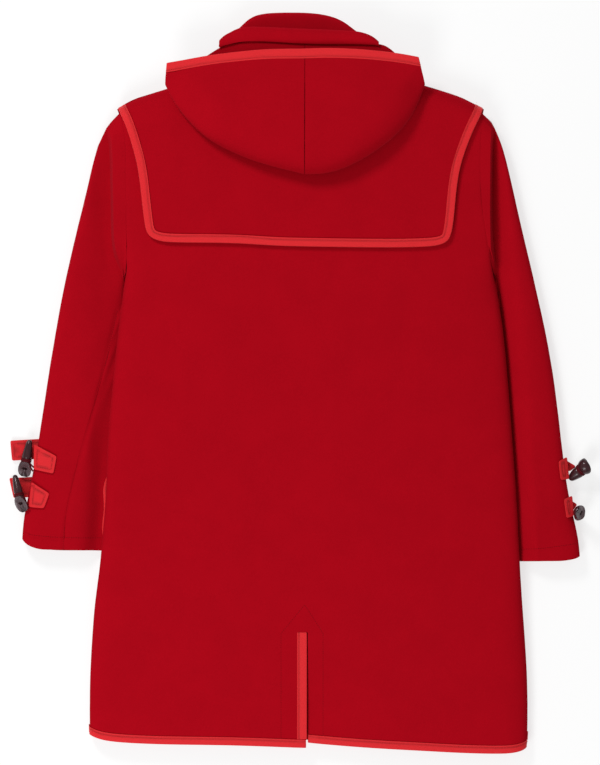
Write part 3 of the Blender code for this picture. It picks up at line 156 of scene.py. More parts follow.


# Finishes

# the tape and felt finishes darken by this attribute, as painted shade in the groove
PRESSED = "pressed"  # the attribute that says how deep in a sewn groove a point lies
MIX_COLOURS = (6, 7)  # the sockets of a Mix node's two colours, and of the colour it gives
MIX_COLOUR = 2
MIX_VALUES = (2, 3)  # the sockets of its two plain values
CLOUD = 45 * MM  # size of the cloudy patches in the wool's nap
WEAVE_DEPTH = 0.25 * MM
HORN_GLOSS = (("To Min", 0.14), ("To Max", 0.38))  # roughness of the horn, polished and worn


def shade(tint, by):
    """A colour made darker or brighter."""
    return [min(by * part, 1) for part in tint]


class Nodes:
    """The shader nodes of one finish, and the few ways that they are joined here."""

    def __init__(self, name, base, roughness):
        self.finish = bpy.data.materials.new(name)
        self.finish.use_nodes = True
        self.tree = self.finish.node_tree
        self.shader = self.tree.nodes["Principled BSDF"]
        self.shader.inputs["Base Color"].default_value = (*base, 1)
        self.shader.inputs["Roughness"].default_value = roughness

    def add(self, kind, **settings):
        node = self.tree.nodes.new("ShaderNode" + kind)
        for key, value in settings.items():
            if key in node.inputs:
                node.inputs[key].default_value = value
            else:
                setattr(node, key, value)
        return node

    def join(self, source, target, out=0):
        self.tree.links.new(source.outputs[out], target)

    def paint(self, source, out=0):
        """The finish takes its colour from a node."""
        self.join(source, self.shader.inputs["Base Color"], out)

    def place(self, scale):
        """Object coordinates, scaled."""
        mapping = self.add("Mapping")
        mapping.inputs["Scale"].default_value = scale
        self.join(self.add("TexCoord"), mapping.inputs["Vector"], "Object")
        return mapping

    def grain(self, size, detail=3.0, stretch=(1, 1, 1), roughness=0.6):
        """Noise whose cells are about one size across."""
        cells = self.add("TexNoise", Detail=detail, Roughness=roughness, Scale=1 / size)
        self.join(self.place(stretch), cells.inputs["Vector"])
        return cells

    def blend(self, factor, low, high, at=(0.35, 0.65)):
        """Two colours mixed by a node's value between two of its levels."""
        ramp = self.add("ValToRGB")
        for stop, place, tint in zip(ramp.color_ramp.elements, at, (low, high)):
            stop.position = place
            stop.color = (*tint, 1)
        self.join(factor, ramp.inputs["Fac"])
        return ramp

    def mixed(self, one, two, factor):
        """The colours of two nodes in a fixed mix."""
        mix = self.add("Mix", data_type="RGBA")
        mix.inputs["Factor"].default_value = factor
        for source, socket in zip((one, two), MIX_COLOURS):
            self.join(source, mix.inputs[socket])
        return mix

    def bumps(self, height, depth, strength):
        bump = self.add("Bump", Strength=strength, Distance=depth)
        self.join(height, bump.inputs["Height"])
        self.join(bump, self.shader.inputs["Normal"])

    def sheen(self, weight, tint, roughness=0.4):
        self.shader.inputs["Sheen Weight"].default_value = weight
        self.shader.inputs["Sheen Roughness"].default_value = roughness
        self.shader.inputs["Sheen Tint"].default_value = (*tint, 1)

    def gloss(self, specular):
        self.shader.inputs["Specular IOR Level"].default_value = specular

    def polish(self, weight, roughness):
        """A thin clear coat over the finish."""
        self.shader.inputs["Coat Weight"].default_value = weight
        self.shader.inputs["Coat Roughness"].default_value = roughness


def wool_finish(name):
    """Felted wool: fine fibres under cloudy patches of nap."""
    cloth = bpy.context.scene.coat_cloth
    made = Nodes(name, cloth.wool, roughness=0.92)
    fibres = made.grain(cloth.fibre, detail=5, stretch=(1, 0.8, 1), roughness=0.7)
    fine = made.blend(fibres, cloth.wool_deep, cloth.wool, at=(0.25, 0.62))
    clouds = made.grain(CLOUD)
    nap = made.blend(clouds, shade(cloth.wool, 0.93), shade(cloth.wool, 1.05))
    made.paint(made.mixed(fine, nap, factor=0.4), MIX_COLOUR)
    made.bumps(fibres, depth=0.30 * MM, strength=0.55)
    made.gloss(0.0)
    made.sheen(weight=0.09, tint=(1.0, 0.12, 0.20))
    return made.finish


def weave_finish(name, tint, thread, ribs):
    """Woven or felted trim: ribs a thread apart over fine fibres, with painted shade darkening it
    where it is sewn down into a groove.
    """
    made = Nodes(name, tint, roughness=0.7)
    fibres = made.grain(0.8 * MM, detail=4)
    fine = made.blend(fibres, shade(tint, 0.82), tint, at=(0.3, 0.6))
    # painted shade: the trim's colour falls to half in its sewn groove, by how deep each point lies
    # in it
    groove_shade = made.add("Mix", data_type="RGBA")
    made.join(fine, groove_shade.inputs[MIX_COLOURS[0]])
    groove_shade.inputs[MIX_COLOURS[1]].default_value = (*shade(tint, 0.5), 1)
    made.join(made.add("Attribute", attribute_name=PRESSED), groove_shade.inputs["Factor"], "Fac")
    made.paint(groove_shade, MIX_COLOUR)
    wave = made.add("TexWave", Scale=1 / thread, Distortion=1.2, bands_direction="DIAGONAL")
    wave.inputs["Detail"].default_value = 1.0
    made.join(made.place((1, 1, 1)), wave.inputs["Vector"])
    both = made.add("Mix", data_type="FLOAT")
    both.inputs["Factor"].default_value = ribs
    for source, socket in zip((fibres, wave), MIX_VALUES):
        made.join(source, both.inputs[socket], "Fac")
    made.bumps(both, depth=WEAVE_DEPTH, strength=0.6)
    made.gloss(0.25)
    made.sheen(weight=0.15, tint=(1.0, 0.55, 0.5))
    return made.finish


def thread_finish(name, tint):
    """Twisted thread or cord."""
    made = Nodes(name, tint, roughness=0.6)
    twist = made.grain(0.35 * MM, detail=2)
    made.paint(made.blend(twist, shade(tint, 0.7), tint))
    made.bumps(twist, depth=0.1 * MM, strength=0.5)
    made.gloss(0.08)
    return made.finish


def horn_finish(name):
    """Polished horn, with faint streaks and worn gloss."""
    horn = bpy.context.scene.coat_horn.horn
    made = Nodes(name, horn, roughness=0.2)
    streaks = made.grain(5 * MM, detail=4, stretch=(1, 0.25, 1))
    made.paint(made.blend(streaks, shade(horn, 0.6), shade(horn, 2.2), at=(0.3, 0.75)))
    wear = made.grain(2.2 * MM)
    dull = made.add("MapRange")
    for end, value in HORN_GLOSS:
        dull.inputs[end].default_value = value
    made.join(wear, dull.inputs["Value"])
    made.join(dull, made.shader.inputs["Roughness"])
    made.bumps(wear, depth=0.06 * MM, strength=0.35)
    made.gloss(0.25)
    made.polish(weight=0.12, roughness=0.12)
    return made.finish


def cut_horn_finish(name):
    """The sawn face of a toggle, duller and paler than its skin."""
    cut = bpy.context.scene.coat_horn.cut
    made = Nodes(name, cut, roughness=0.42)
    grain = made.grain(1.6 * MM, detail=4)
    made.paint(made.blend(grain, shade(cut, 0.55), shade(cut, 1.3)))
    made.bumps(grain, depth=0.12 * MM, strength=0.5)
    return made.finish


FINISHES = {}


def finish(name):
    """A finish by name, made once."""
    if name not in FINISHES:
        cloth, horn = bpy.context.scene.coat_cloth, bpy.context.scene.coat_horn
        makers = {
            "wool": lambda: wool_finish("red_wool"),
            "tape": lambda: weave_finish("binding_tape", cloth.tape, 1.1 * MM, ribs=0.5),
            "strap": lambda: weave_finish("felt_strap", cloth.strap, 2.0 * MM, ribs=0.15),
            # its dark colour is partly painted shade along the sewn lines on the wool
            "thread": lambda: thread_finish("wool_thread", cloth.thread),
            "strap_thread": lambda: thread_finish("patch_thread", shade(cloth.strap, 0.7)),
            "bright": lambda: thread_finish("tape_thread", shade(cloth.tape, 1.15)),
            "horn": lambda: horn_finish("polished_horn"),
            "cut": lambda: cut_horn_finish("cut_horn"),
            "cord": lambda: thread_finish("toggle_cord", horn.cord),
        }
        FINISHES[name] = makers[name]()
    return FINISHES[name]


# Making pieces

QUAD_FACE, QUAD_SHAPE = 0.7, 1.6  # how far from flat and from square a quad may be


def add_piece(name, mesh, slot, *finishes):
    """A bmesh becomes a finished piece that rides with the coat; none goes below the surface."""
    for vertex in mesh.verts:
        vertex.co.z = max(vertex.co.z, 0)
    data = bpy.data.meshes.new(name)
    mesh.to_mesh(data)
    mesh.free()
    data.shade_smooth()
    for one in finishes:
        data.materials.append(finish(one))
    piece = bpy.data.objects.new(name, data)
    bpy.context.scene.collection.objects.link(piece)
    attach(piece, "root")
    return piece


def merged_copy(node):
    """The node's solid as quads again."""
    mesh = bmesh.new()
    mesh.from_mesh(frame["nodes"][node].data)
    bmesh.ops.remove_doubles(mesh, verts=mesh.verts, dist=MERGE)
    bmesh.ops.join_triangles(
        mesh,
        faces=mesh.faces,
        angle_face_threshold=QUAD_FACE,
        angle_shape_threshold=QUAD_SHAPE,
    )
    return mesh


def width_of(face):
    return face.calc_area() / max(edge.calc_length() for edge in face.edges)


def is_sharp(edge):
    return edge.is_manifold and edge.calc_face_angle() > SHARP


def sharp_edges(mesh):
    return [edge for edge in mesh.edges if is_sharp(edge)]


def verts_of(faces):
    """The faces' vertices, each once and always in the same order."""
    return list(dict.fromkeys(vertex for face in faces for vertex in face.verts))


def edges_at(verts):
    """The edges that meet the vertices, each once and always in the same order."""
    return list(dict.fromkeys(edge for vertex in verts for edge in vertex.link_edges))


def round_edges(mesh, edges, offset, segments=2):
    if edges:
        bmesh.ops.bevel(
            mesh,
            geom=edges,
            offset=offset,
            offset_type="OFFSET",
            affect="EDGES",
            segments=segments,
            profile=0.5,
            material=-1,
            clamp_overlap=True,
        )


def subdivided(mesh, levels):
    """The mesh with Subdivision Surface applied to it."""
    data = bpy.data.meshes.new("draft")
    mesh.to_mesh(data)
    mesh.free()
    draft = bpy.data.objects.new("draft", data)
    bpy.context.scene.collection.objects.link(draft)
    smooth = draft.modifiers.new("smooth", "SUBSURF")
    smooth.levels = smooth.render_levels = levels
    graph = bpy.context.evaluated_depsgraph_get()
    result = bmesh.new()
    result.from_object(draft, graph)
    bpy.data.objects.remove(draft)
    bpy.data.meshes.remove(data)
    return result


def smooth_step(x, start, end):
    """Rises from 0 at the start to 1 at the end, without a corner."""
    t = min(max((x - start) / (end - start), 0), 1)
    return t * t * (3 - 2 * t)


# Wool

WALL = 3.4 * MM  # a face narrower than this is a cut edge of the wool
SEAM_OUT = 0.1 * MM  # how far a panel's cut edges are let out
TO_NECK = 0.8  # a cut edge faces the neck where its way goes up the coat by more than this
RESTS = (3 * MM, 9 * MM)  # below the first height nothing is moved, because the coat rests there
UNEVEN = ((0.22 * MM, 38), (0.10 * MM, 120))  # height and closeness of the cloth's unevenness


def let_out(mesh, by, upper=None):
    """Moves the cut edges of a wall out a little, so that a seam closes. upper is how far the
    edge towards the neck moves, where it runs on under another piece."""
    rims = [f for f in mesh.faces if width_of(f) < WALL and sum(map(is_sharp, f.edges)) >= 2]
    moves = {}
    for face in rims:
        for vertex in face.verts:
            moves.setdefault(vertex, []).append(face.normal.copy())
    for vertex, normals in moves.items():
        way = sum(normals, Vector()).normalized()
        vertex.co += way * (upper if upper and way.y > TO_NECK else by)


def soften(mesh, extra=None):
    """Small unevenness of the cloth, and a piece's own creases, as moves along the normals."""
    mesh.normal_update()
    moves = []
    for vertex in mesh.verts:
        at = vertex.co
        move = sum(height * noise.noise(at * close) for height, close in UNEVEN)
        if extra:
            move += extra(at) * max(vertex.normal.z, 0)
        moves.append(move * smooth_step(at.z, *RESTS))
    for vertex, move in zip(mesh.verts, moves):
        vertex.co += vertex.normal * move


def wool_piece(node, levels=None, out=SEAM_OUT, upper=None, creases=None):
    """A panel of wool, fine and softly edged, in place of its plain solid."""
    cloth = bpy.context.scene.coat_cloth
    mesh = merged_copy(node)
    let_out(mesh, out, upper)
    round_edges(mesh, sharp_edges(mesh), cloth.rim)
    mesh = subdivided(mesh, levels or cloth.levels)
    soften(mesh, creases)
    piece = add_piece("coat_" + node, mesh, "wool", "wool")
    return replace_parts(piece, node)


# Sewing

GROOVE = (0.9 * MM, 0.6 * MM)  # half width and depth of the groove that the stitches pull
GROOVE_STEP = 1 * MM  # from one place of a groove's line to the next
STRAIGHT_ON = 0.7  # a line goes on along an edge that turns less than this, as a cosine
FLAT = 0.7  # a stitch is this much flatter than it is wide
SHORT = 30 * MM  # a line shorter than this is a binding's end
FOLDED = 12 * MM  # what the binding covers from this near is its under side, inside the fold
STEP_IN, STEP_UP = 1 * MM, 0.2 * MM  # from a binding's edge to where that is looked for
SUNK = 0.15 * MM  # how far a binding's stitches lie in it
PROUD = 0.02 * MM  # how far other stitches lie on their cloth


def span(line):
    return sum((b - a).length for a, b in zip(line, line[1:]))


def even_points(line, pitch):
    """Points and directions at an even pitch along a line."""
    total = span(line)
    count = max(int(total / pitch), 1)
    result, gone, k = [], 0.0, 0
    for i in range(count):
        want = (i + 0.5) * total / count
        while k < len(line) - 2 and gone + (line[k + 1] - line[k]).length < want:
            gone += (line[k + 1] - line[k]).length
            k += 1
        step = line[k + 1] - line[k]
        result.append((line[k] + step * ((want - gone) / step.length), step.normalized()))
    return result


def lines_of(edges):
    """Edges joined into lines, each a list of points in order."""
    left = dict.fromkeys(edges)
    lines = []
    while left:
        first = next(iter(left))
        del left[first]
        line = list(first.verts)
        for grow in (True, False):
            if not grow:
                line.reverse()
            while True:
                way = (line[-1].co - line[-2].co).normalized()
                onward = [
                    (way.dot((e.other_vert(line[-1]).co - line[-1].co).normalized()), e.index, e)
                    for e in line[-1].link_edges
                    if e in left
                ]
                if not onward or max(onward)[0] < STRAIGHT_ON:
                    break
                edge = max(onward)[2]
                del left[edge]
                line.append(edge.other_vert(line[-1]))
        lines.append([v.co.copy() for v in line])
    return lines


def seat_below(tree, place):
    """The point of a surface under a place seen from above, and its normal; None if it is bare."""
    return tree.ray_cast(Vector((place.x, place.y, ABOVE)), -UP)[:2]


def press_groove(mesh, edge_points, inset):
    """Sinks the upper face along a line that lies inset from the given edge points."""
    tree = KDTree(len(edge_points))
    for k, place in enumerate(edge_points):
        tree.insert(place, k)
    tree.balance()
    mesh.normal_update()
    # how deep each point lies in the groove, which the trim's finish also darkens as painted shade
    pressed = mesh.verts.layers.float.new(PRESSED)
    half, depth = GROOVE
    for vertex in mesh.verts:
        if vertex.normal.z > LOOKS_UP:
            off = tree.find(vertex.co)[2] - inset
            vertex[pressed] = math.exp(-((off / half) ** 2))
            vertex.co -= vertex.normal * depth * vertex[pressed]


def bead():
    """One rounded bead of thread, a unit across, which every stitch copies."""
    data = bpy.data.meshes.get("bead")
    if data is None:
        mesh = bmesh.new()
        bmesh.ops.create_uvsphere(mesh, u_segments=5, v_segments=4, radius=0.5)
        data = bpy.data.meshes.new("bead")
        mesh.to_mesh(data)
        mesh.free()
    return data


def add_stitch(mesh, place, along, up):
    """One stitch: a small rounded bead of thread, laid along the seam. Its three axes are
    right-handed, so that the bead isn't turned inside out."""
    sewing = bpy.context.scene.coat_sewing
    side = along.cross(up).normalized()
    up = side.cross(along)
    turn = Matrix((side, along, up)).transposed().to_4x4()
    shape = Matrix.Diagonal((sewing.thick, sewing.reach, FLAT * sewing.thick, 1))
    stitch = bead().copy()
    stitch.transform(Matrix.Translation(place) @ turn @ shape)
    mesh.from_mesh(stitch)
    bpy.data.meshes.remove(stitch)


def laid_stitches(name, cloth, paths, slot="wool", thread="thread"):
    """Stitches along paths in millimetres, seen from above, laid on the cloth below them."""
    sewing = bpy.context.scene.coat_sewing
    tree = BVHTree.FromObject(cloth, bpy.context.evaluated_depsgraph_get())
    mesh = bmesh.new()
    for path in paths:
        line = [Vector((x * MM, y * MM, 0)) for x, y in path]
        for place, along in even_points(line, sewing.pitch):
            seat, normal = seat_below(tree, place)
            if seat is not None:
                along = (along - normal * along.dot(normal)).normalized()
                add_stitch(mesh, seat + normal * PROUD, along, normal)
    return add_piece(name, mesh, slot, thread)


# Bindings

TAPE_WALL = 1.5 * MM  # a face narrower than this is a cut edge of the tape
TAPE_FOLD = 1.3 * MM  # rounding where the tape folds round the edge of the wool
TAPE_RIM = 0.25 * MM
TRIM_LEVELS = 2


def sewn_rows(node, pitch):
    """Places where the upper side of a binding is sewn down, with the ways along and across it."""
    mesh = merged_copy(node)
    cover = BVHTree.FromBMesh(mesh)
    rims = {}
    for edge in mesh.edges:
        if is_sharp(edge) and edge.is_convex:
            rim, top = sorted(edge.link_faces, key=width_of)
            if width_of(rim) < TAPE_WALL and top.normal.z > LOOKS_UP:
                middle = (edge.verts[0].co + edge.verts[1].co) / 2
                across = top.calc_center_median() - middle
                above = middle + across.normalized() * STEP_IN + UP * STEP_UP
                if cover.ray_cast(above, UP, FOLDED)[0] is None:
                    rims[edge] = (middle, across)
    places = list(rims.values())
    tree = KDTree(len(places))
    for k, (middle, _) in enumerate(places):
        tree.insert(middle, k)
    tree.balance()
    rows = []
    for line in lines_of(rims):
        if span(line) > SHORT:
            for place, along in even_points(line, pitch):
                way = places[tree.find(place)[1]][1]
                rows.append((place, along, (way - along * way.dot(along)).normalized()))
    mesh.free()
    return rows


def tape_piece(node):
    """A binding folded round an edge: round at the fold, with a groove where it is sewn down."""
    mesh = merged_copy(node)
    cuts, folds = [], []
    for edge in mesh.edges:
        if is_sharp(edge) and edge.is_convex:
            at_cut = min(width_of(face) for face in edge.link_faces) < TAPE_WALL
            (cuts if at_cut else folds).append(edge)
    round_edges(mesh, folds, TAPE_FOLD, segments=3)
    round_edges(mesh, [e for e in cuts if e.is_valid], TAPE_RIM)
    mesh = subdivided(mesh, TRIM_LEVELS)
    rim = [place for place, _, _ in sewn_rows(node, GROOVE_STEP)]
    press_groove(mesh, rim, bpy.context.scene.coat_sewing.inset)
    piece = add_piece("bound_" + node, mesh, "tape", "tape")
    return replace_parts(piece, node)


def tape_stitches(node):
    """The row of stitches along the inner edge of a binding."""
    sewing = bpy.context.scene.coat_sewing
    mesh = bmesh.new()
    for place, along, across in sewn_rows(node, sewing.pitch):
        up = along.cross(across).normalized()
        up = up if up.z > 0 else -up
        add_stitch(mesh, place + across * sewing.inset - up * SUNK, along, up)
    return add_piece("stitches_" + node, mesh, "tape", "bright")


def bound(*nodes):
    """The bindings of a panel, each with its row of stitches."""
    pieces = []
    for node in nodes:
        pieces += [tape_piece(node), tape_stitches(node)]
    return pieces


# Felt patches

CORNER = math.radians(20)  # an outline that turns more than this has a corner there
DECIMALS = 5  # of a metre, to which two corners count as one
STRAP_THICK = 2 * MM  # a sharp edge shorter than this stands at a patch's corner
STRAP_CORNER = 2.5 * MM
STRAP_RIM = 0.35 * MM


def outline_of(node):
    """The corners of a flat piece seen from above, without those on a straight edge."""
    vertices = frame["nodes"][node].data.vertices
    places = {(round(v.co.x, DECIMALS), round(v.co.y, DECIMALS)) for v in vertices}
    points = [Vector(place) for place in sorted(places)]
    around = [points[k] for k in convex_hull_2d(points)]
    corners = []
    for k, point in enumerate(around):
        before, after = around[k - 1], around[(k + 1) % len(around)]
        if abs((point - before).angle_signed(after - point)) > CORNER:
            corners.append(point)
    return corners


def inset_outline(corners, by):
    """The outline moved inwards by a distance, as a closed line."""
    middle = sum(corners, Vector((0, 0))) / len(corners)
    moved = []
    for k, corner in enumerate(corners):
        sides = []
        for other in (corners[k - 1], corners[(k + 1) % len(corners)]):
            way = (other - corner).normalized()
            side = Vector((-way.y, way.x))
            sides.append(side if side.dot(middle - corner) > 0 else -side)
        moved.append(corner + by * (sides[0] + sides[1]) / (1 + sides[0].dot(sides[1])))
    return moved + moved[:1]


def strap_piece(node):
    """A felt patch with rounded corners and a sewn box near its edge; its stitches come too."""
    mesh = merged_copy(node)
    corners = [e for e in sharp_edges(mesh) if e.calc_length() < STRAP_THICK]
    round_edges(mesh, corners, STRAP_CORNER, segments=4)
    round_edges(mesh, sharp_edges(mesh), STRAP_RIM)
    mesh = subdivided(mesh, TRIM_LEVELS)
    box = inset_outline(outline_of(node), bpy.context.scene.coat_sewing.box)
    tree = BVHTree.FromBMesh(mesh)
    line = even_points([place.to_3d() for place in box], GROOVE_STEP)
    seats = [seat_below(tree, place)[0] for place, _ in line]
    press_groove(mesh, [seat for seat in seats if seat is not None], 0)
    piece = add_piece("felt_" + node, mesh, "strap", "strap")
    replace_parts(piece, node)
    path = [(place.x / MM, place.y / MM) for place in box]
    return [piece, laid_stitches("box_" + node, piece, [path], "strap", "strap_thread")]


def patches(*nodes):
    return [piece for node in nodes for piece in strap_piece(node)]


# Toggles

TOGGLE_PROFILE = [  # share of the length and radius in mm of a toggle, from its tail
    (0.0, 1.0),
    (0.012, 2.3),
    (0.04, 3.3),
    (0.12, 4.3),
    (0.25, 5.2),
    (0.37, 6.0),
    (0.45, 6.3),
    (0.50, 5.7),
    (0.53, 5.2),
    (0.57, 5.2),
    (0.60, 6.3),
    (0.66, 7.6),
    (0.76, 8.5),
    (0.87, 8.4),
    (0.95, 7.6),
    (1.0, 5.6),
]
END_FACE = 0.2 * MM  # points of a solid this near its end are its end face
WAIST = 0.55  # share of the length where the cord goes round, and the radius in mm there
WAIST_RADIUS = 5.2
CUT_START = 0.6  # share of the length where the oval cut comes out of the horn
CUT_OUT = 6.4  # how far from the axis that is, in mm, and how far the cut ends at the tip
CUT_TIP = -4.4
CUT_RIM, CUT_DISH = 0.5 * MM, -0.25 * MM  # the worn rim of the cut, and how far it is sunk
CUT_FINISH = 1  # the cut has a toggle's second finish
HOLE = (0.50, 0.20)  # the hole's size as a share of the cut's, across and along
HOLE_SHIFT = 1.0 * MM
HOLE_RIM, HOLE_DEPTH = 0.2 * MM, 2.5 * MM
CORD_SEAT = 0.35  # a cord's middle lies this share of its thickness off the waist
CORD_TURNS = (-0.5, 0.5)  # places of its two turns and of its two ends, in thicknesses
CORD_ENDS = (-0.6, 0.6)
CORD_SPREAD = 2  # the ends stand this much wider apart where they are sewn on
CORD_BEND = 0.5 * MM


def toggle_ends(node):
    """The thin and the thick end of a toggle's solid."""
    points = np.array([v.co for v in frame["nodes"][node].data.vertices])
    middle = points.mean(0)
    axis = np.linalg.svd(points - middle)[2][0]
    along = (points - middle) @ axis
    ends = []
    for end in (along.min(), along.max()):
        near = points[np.abs(along - end) < END_FACE]
        spread = np.linalg.norm(near - near.mean(0), axis=1).max()
        ends.append((spread, Vector(near.mean(0))))
    ends.sort(key=lambda e: e[0])
    return ends[0][1], ends[1][1]


def turned_horn(tail, way, reach, face, size):
    """The toggle's round body, spun from its profile and cut on a slant at the head. Gives the
    mesh, the face of the cut and the way it looks."""
    mesh = bmesh.new()
    start = [
        mesh.verts.new(tail + way * share * reach + face * radius * size * MM)
        for share, radius in TOGGLE_PROFILE
    ]
    edges = [mesh.edges.new(pair) for pair in zip(start, start[1:])]
    bmesh.ops.spin(
        mesh,
        geom=start + edges,
        cent=tail,
        axis=way,
        angle=2 * math.pi,
        steps=bpy.context.scene.coat_horn.sides,
        use_merge=True,
    )
    bmesh.ops.remove_doubles(mesh, verts=mesh.verts, dist=MERGE)
    bmesh.ops.holes_fill(mesh, edges=[e for e in mesh.edges if e.is_boundary], sides=0)
    fall = (CUT_OUT - CUT_TIP) * size * MM / ((1 - CUT_START) * reach)
    slope = (way * fall + face).normalized()
    cut = bmesh.ops.bisect_plane(
        mesh,
        geom=list(mesh.verts) + list(mesh.edges) + list(mesh.faces),
        plane_co=tail + way * reach + face * CUT_TIP * size * MM,
        plane_no=slope,
        clear_outer=True,
    )
    rim = [e for e in cut["geom_cut"] if isinstance(e, bmesh.types.BMEdge)]
    oval = bmesh.ops.contextual_create(mesh, geom=rim)["faces"]
    bmesh.ops.recalc_face_normals(mesh, faces=mesh.faces)
    return mesh, oval, slope


def drill(mesh, oval, slope, way):
    """Sinks the face of the cut a little, and a hole in its middle."""
    dished = bmesh.ops.inset_region(mesh, faces=oval, thickness=CUT_RIM, depth=CUT_DISH)
    plain = bmesh.ops.inset_region(mesh, faces=oval, thickness=CUT_RIM)
    for one in [*dished["faces"], *plain["faces"]]:
        one.material_index = CUT_FINISH
    hole = verts_of(oval)
    middle = sum((v.co for v in hole), Vector()) / len(hole)
    long = (way - slope * way.dot(slope)).normalized()
    across = long.cross(slope)
    for vertex in hole:
        off = vertex.co - middle
        flat = HOLE[0] * across * off.dot(across) + HOLE[1] * long * off.dot(long)
        vertex.co = middle + flat - long * HOLE_SHIFT
    bmesh.ops.inset_region(mesh, faces=oval, thickness=HOLE_RIM)
    bmesh.ops.translate(mesh, verts=verts_of(oval), vec=-slope * HOLE_DEPTH)
    bmesh.ops.recalc_face_normals(mesh, faces=mesh.faces)


def toggle(node, facing, size):
    """A horn toggle with a waist for its cord and an oval cut with a hole at its head. Gives
    where its waist is and which way it points."""
    tail, head = toggle_ends(node)
    way = (head - tail).normalized()
    reach = (head - tail).length
    face = Vector(facing)
    face = (face - way * face.dot(way)).normalized()
    mesh, oval, slope = turned_horn(tail, way, reach, face, size)
    drill(mesh, oval, slope, way)
    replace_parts(add_piece("horn_" + node, mesh, "horn", "horn", "cut"), node)
    return tail + way * reach * WAIST, way


def cord_ring(mesh, place, radius, sides):
    """A round section of cord; gives its vertices and its edges."""
    made = bmesh.ops.create_circle(mesh, segments=sides, radius=radius, matrix=place)
    return made["verts"], edges_at(made["verts"])


def cord_turn(mesh, middle, way, radius, thick):
    """One turn of cord round an axis."""
    side = way.orthogonal().normalized()
    turn = Matrix((side, way, side.cross(way))).transposed().to_4x4()
    place = Matrix.Translation(middle + side * radius) @ turn
    verts, edges = cord_ring(mesh, place, thick / 2, sides=10)
    bmesh.ops.spin(
        mesh,
        geom=verts + edges,
        cent=middle,
        axis=way,
        angle=2 * math.pi,
        steps=28,
        use_merge=True,
    )


def cord_tube(mesh, points, thick):
    """A length of cord through the points, its ends closed."""
    rings = []
    for k, point in enumerate(points):
        way = (points[min(k + 1, len(points) - 1)] - points[max(k - 1, 0)]).normalized()
        turn = way.to_track_quat("Z", "Y").to_matrix().to_4x4()
        rings.append(cord_ring(mesh, Matrix.Translation(point) @ turn, thick / 2, sides=8))
    for (_, one), (_, two) in zip(rings, rings[1:]):
        bmesh.ops.bridge_loops(mesh, edges=one + two)
    for ring, _ in (rings[0], rings[-1]):
        mesh.faces.new(ring)


def smooth_line(points, steps=6):
    """A rounded line through a few points, as a Catmull-Rom curve."""
    line = [2 * points[0] - points[1], *points, 2 * points[-1] - points[-2]]
    through = []
    for a, b, c, d in zip(line, line[1:], line[2:], line[3:]):
        square = 2 * a - 5 * b + 4 * c - d
        cube = 3 * b - a - 3 * c + d
        for step in range(steps):
            t = step / steps
            through.append(0.5 * (2 * b + (c - a) * t + square * t * t + cube * t**3))
    return [*through, points[-1]]


def toggle_cord(node, waist, way, anchor, size):
    """The cord that goes twice round a toggle's waist, and on to what holds the toggle."""
    thick = bpy.context.scene.coat_horn.thick
    radius = WAIST_RADIUS * size * MM + CORD_SEAT * thick
    mesh = bmesh.new()
    for off in CORD_TURNS:
        cord_turn(mesh, waist + way * off * thick, way, radius, thick)
    bmesh.ops.remove_doubles(mesh, verts=mesh.verts, dist=MERGE)
    if anchor is not None:
        out = (anchor - waist).normalized()
        for off in CORD_ENDS:
            start = waist + out * radius + way * off * thick
            end = anchor + way * off * thick * CORD_SPREAD
            bend = (start + end) / 2 + UP * CORD_BEND
            cord_tube(mesh, smooth_line((start, bend, end)), thick)
    bmesh.ops.recalc_face_normals(mesh, faces=mesh.faces)
    return add_piece("cord_" + node, mesh, "strap", "cord")


# The coat's own lines, in millimetres seen from above, and its creases

VENT_HOUSE = [(-26.5, -484), (-26.5, -341.4), (5.7, -302.6), (30.6, -341.4), (30.6, -486)]
CUFF_LINES = {
    "left": [(-378, -203), (-366, -208), (-340, -210.5), (-300, -212), (-240, -213)],
    "right": [(378, -219), (360, -222), (330, -226), (300, -228), (240, -229)],
}
SLEEVE_SEAM = [(-249.6, 97), (-268.6, 12), (-286, -58), (-307, -133), (-322, -205), (-323, -240)]

SEAM_TOP = 97 * MM  # the seam of the left sleeve comes into sight here
HEM_LINE = -0.490  # the hem's edge at the left, and how far it falls towards the right
HEM_FALL, HEM_FALLS = 0.006, (0.05, 0.25)
HEM_TURN = 31.0 * MM  # the turned-up hem shows as a faint hollow this far above the edge
HEM_HOLLOW = (6 * MM, 0.45 * MM)  # half width and depth of that hollow
CUFF_HOLLOW = (2.6 * MM, 1.1 * MM)  # the same along a cuff's stitches
SEAM_HOLLOW = (2.8 * MM, 1.0 * MM)  # and along the sleeve's seam
RAISED, RAISED_OVER = 0.5 * MM, 3 * MM  # cloth lies higher on one side of each, from here on
UPPER_LEVELS = 3  # fineness of the upper sleeves
SLEEVE_OUT = 0.8 * MM  # how far the sleeve's seams are let out
ARMHOLE_REACH = 16 * MM  # how far the under sleeve runs on into the armhole


def hollow(distance, width, depth):
    """A soft hollow: its depth falls off evenly on both sides."""
    return -depth * math.exp(-((distance / width) ** 2))


def line_at(path, x):
    """How far up a path is at a place along it."""
    xs, ys = zip(*sorted(path))
    return float(np.interp(x / MM, xs, ys)) * MM


def back_creases(at):
    hem = HEM_LINE - HEM_FALL * smooth_step(at.x, *HEM_FALLS)
    return hollow(at.y - hem - HEM_TURN, *HEM_HOLLOW)


def cuff_creases(side):
    """The turn-up of a cuff and, on the left sleeve, its seam."""
    across = [(y, x) for x, y in SLEEVE_SEAM]

    def creases(at):
        off = at.y - line_at(CUFF_LINES[side], at.x)
        turn = hollow(off, *CUFF_HOLLOW) + RAISED * smooth_step(off, RAISED_OVER, -RAISED_OVER)
        if side == "right" or at.y > SEAM_TOP:
            return turn
        beside = at.x - line_at(across, at.y)
        raised = RAISED * smooth_step(beside, -RAISED_OVER, RAISED_OVER)
        return turn + hollow(beside, *SEAM_HOLLOW) + raised

    return creases


# Operators, one for each piece or group of like pieces


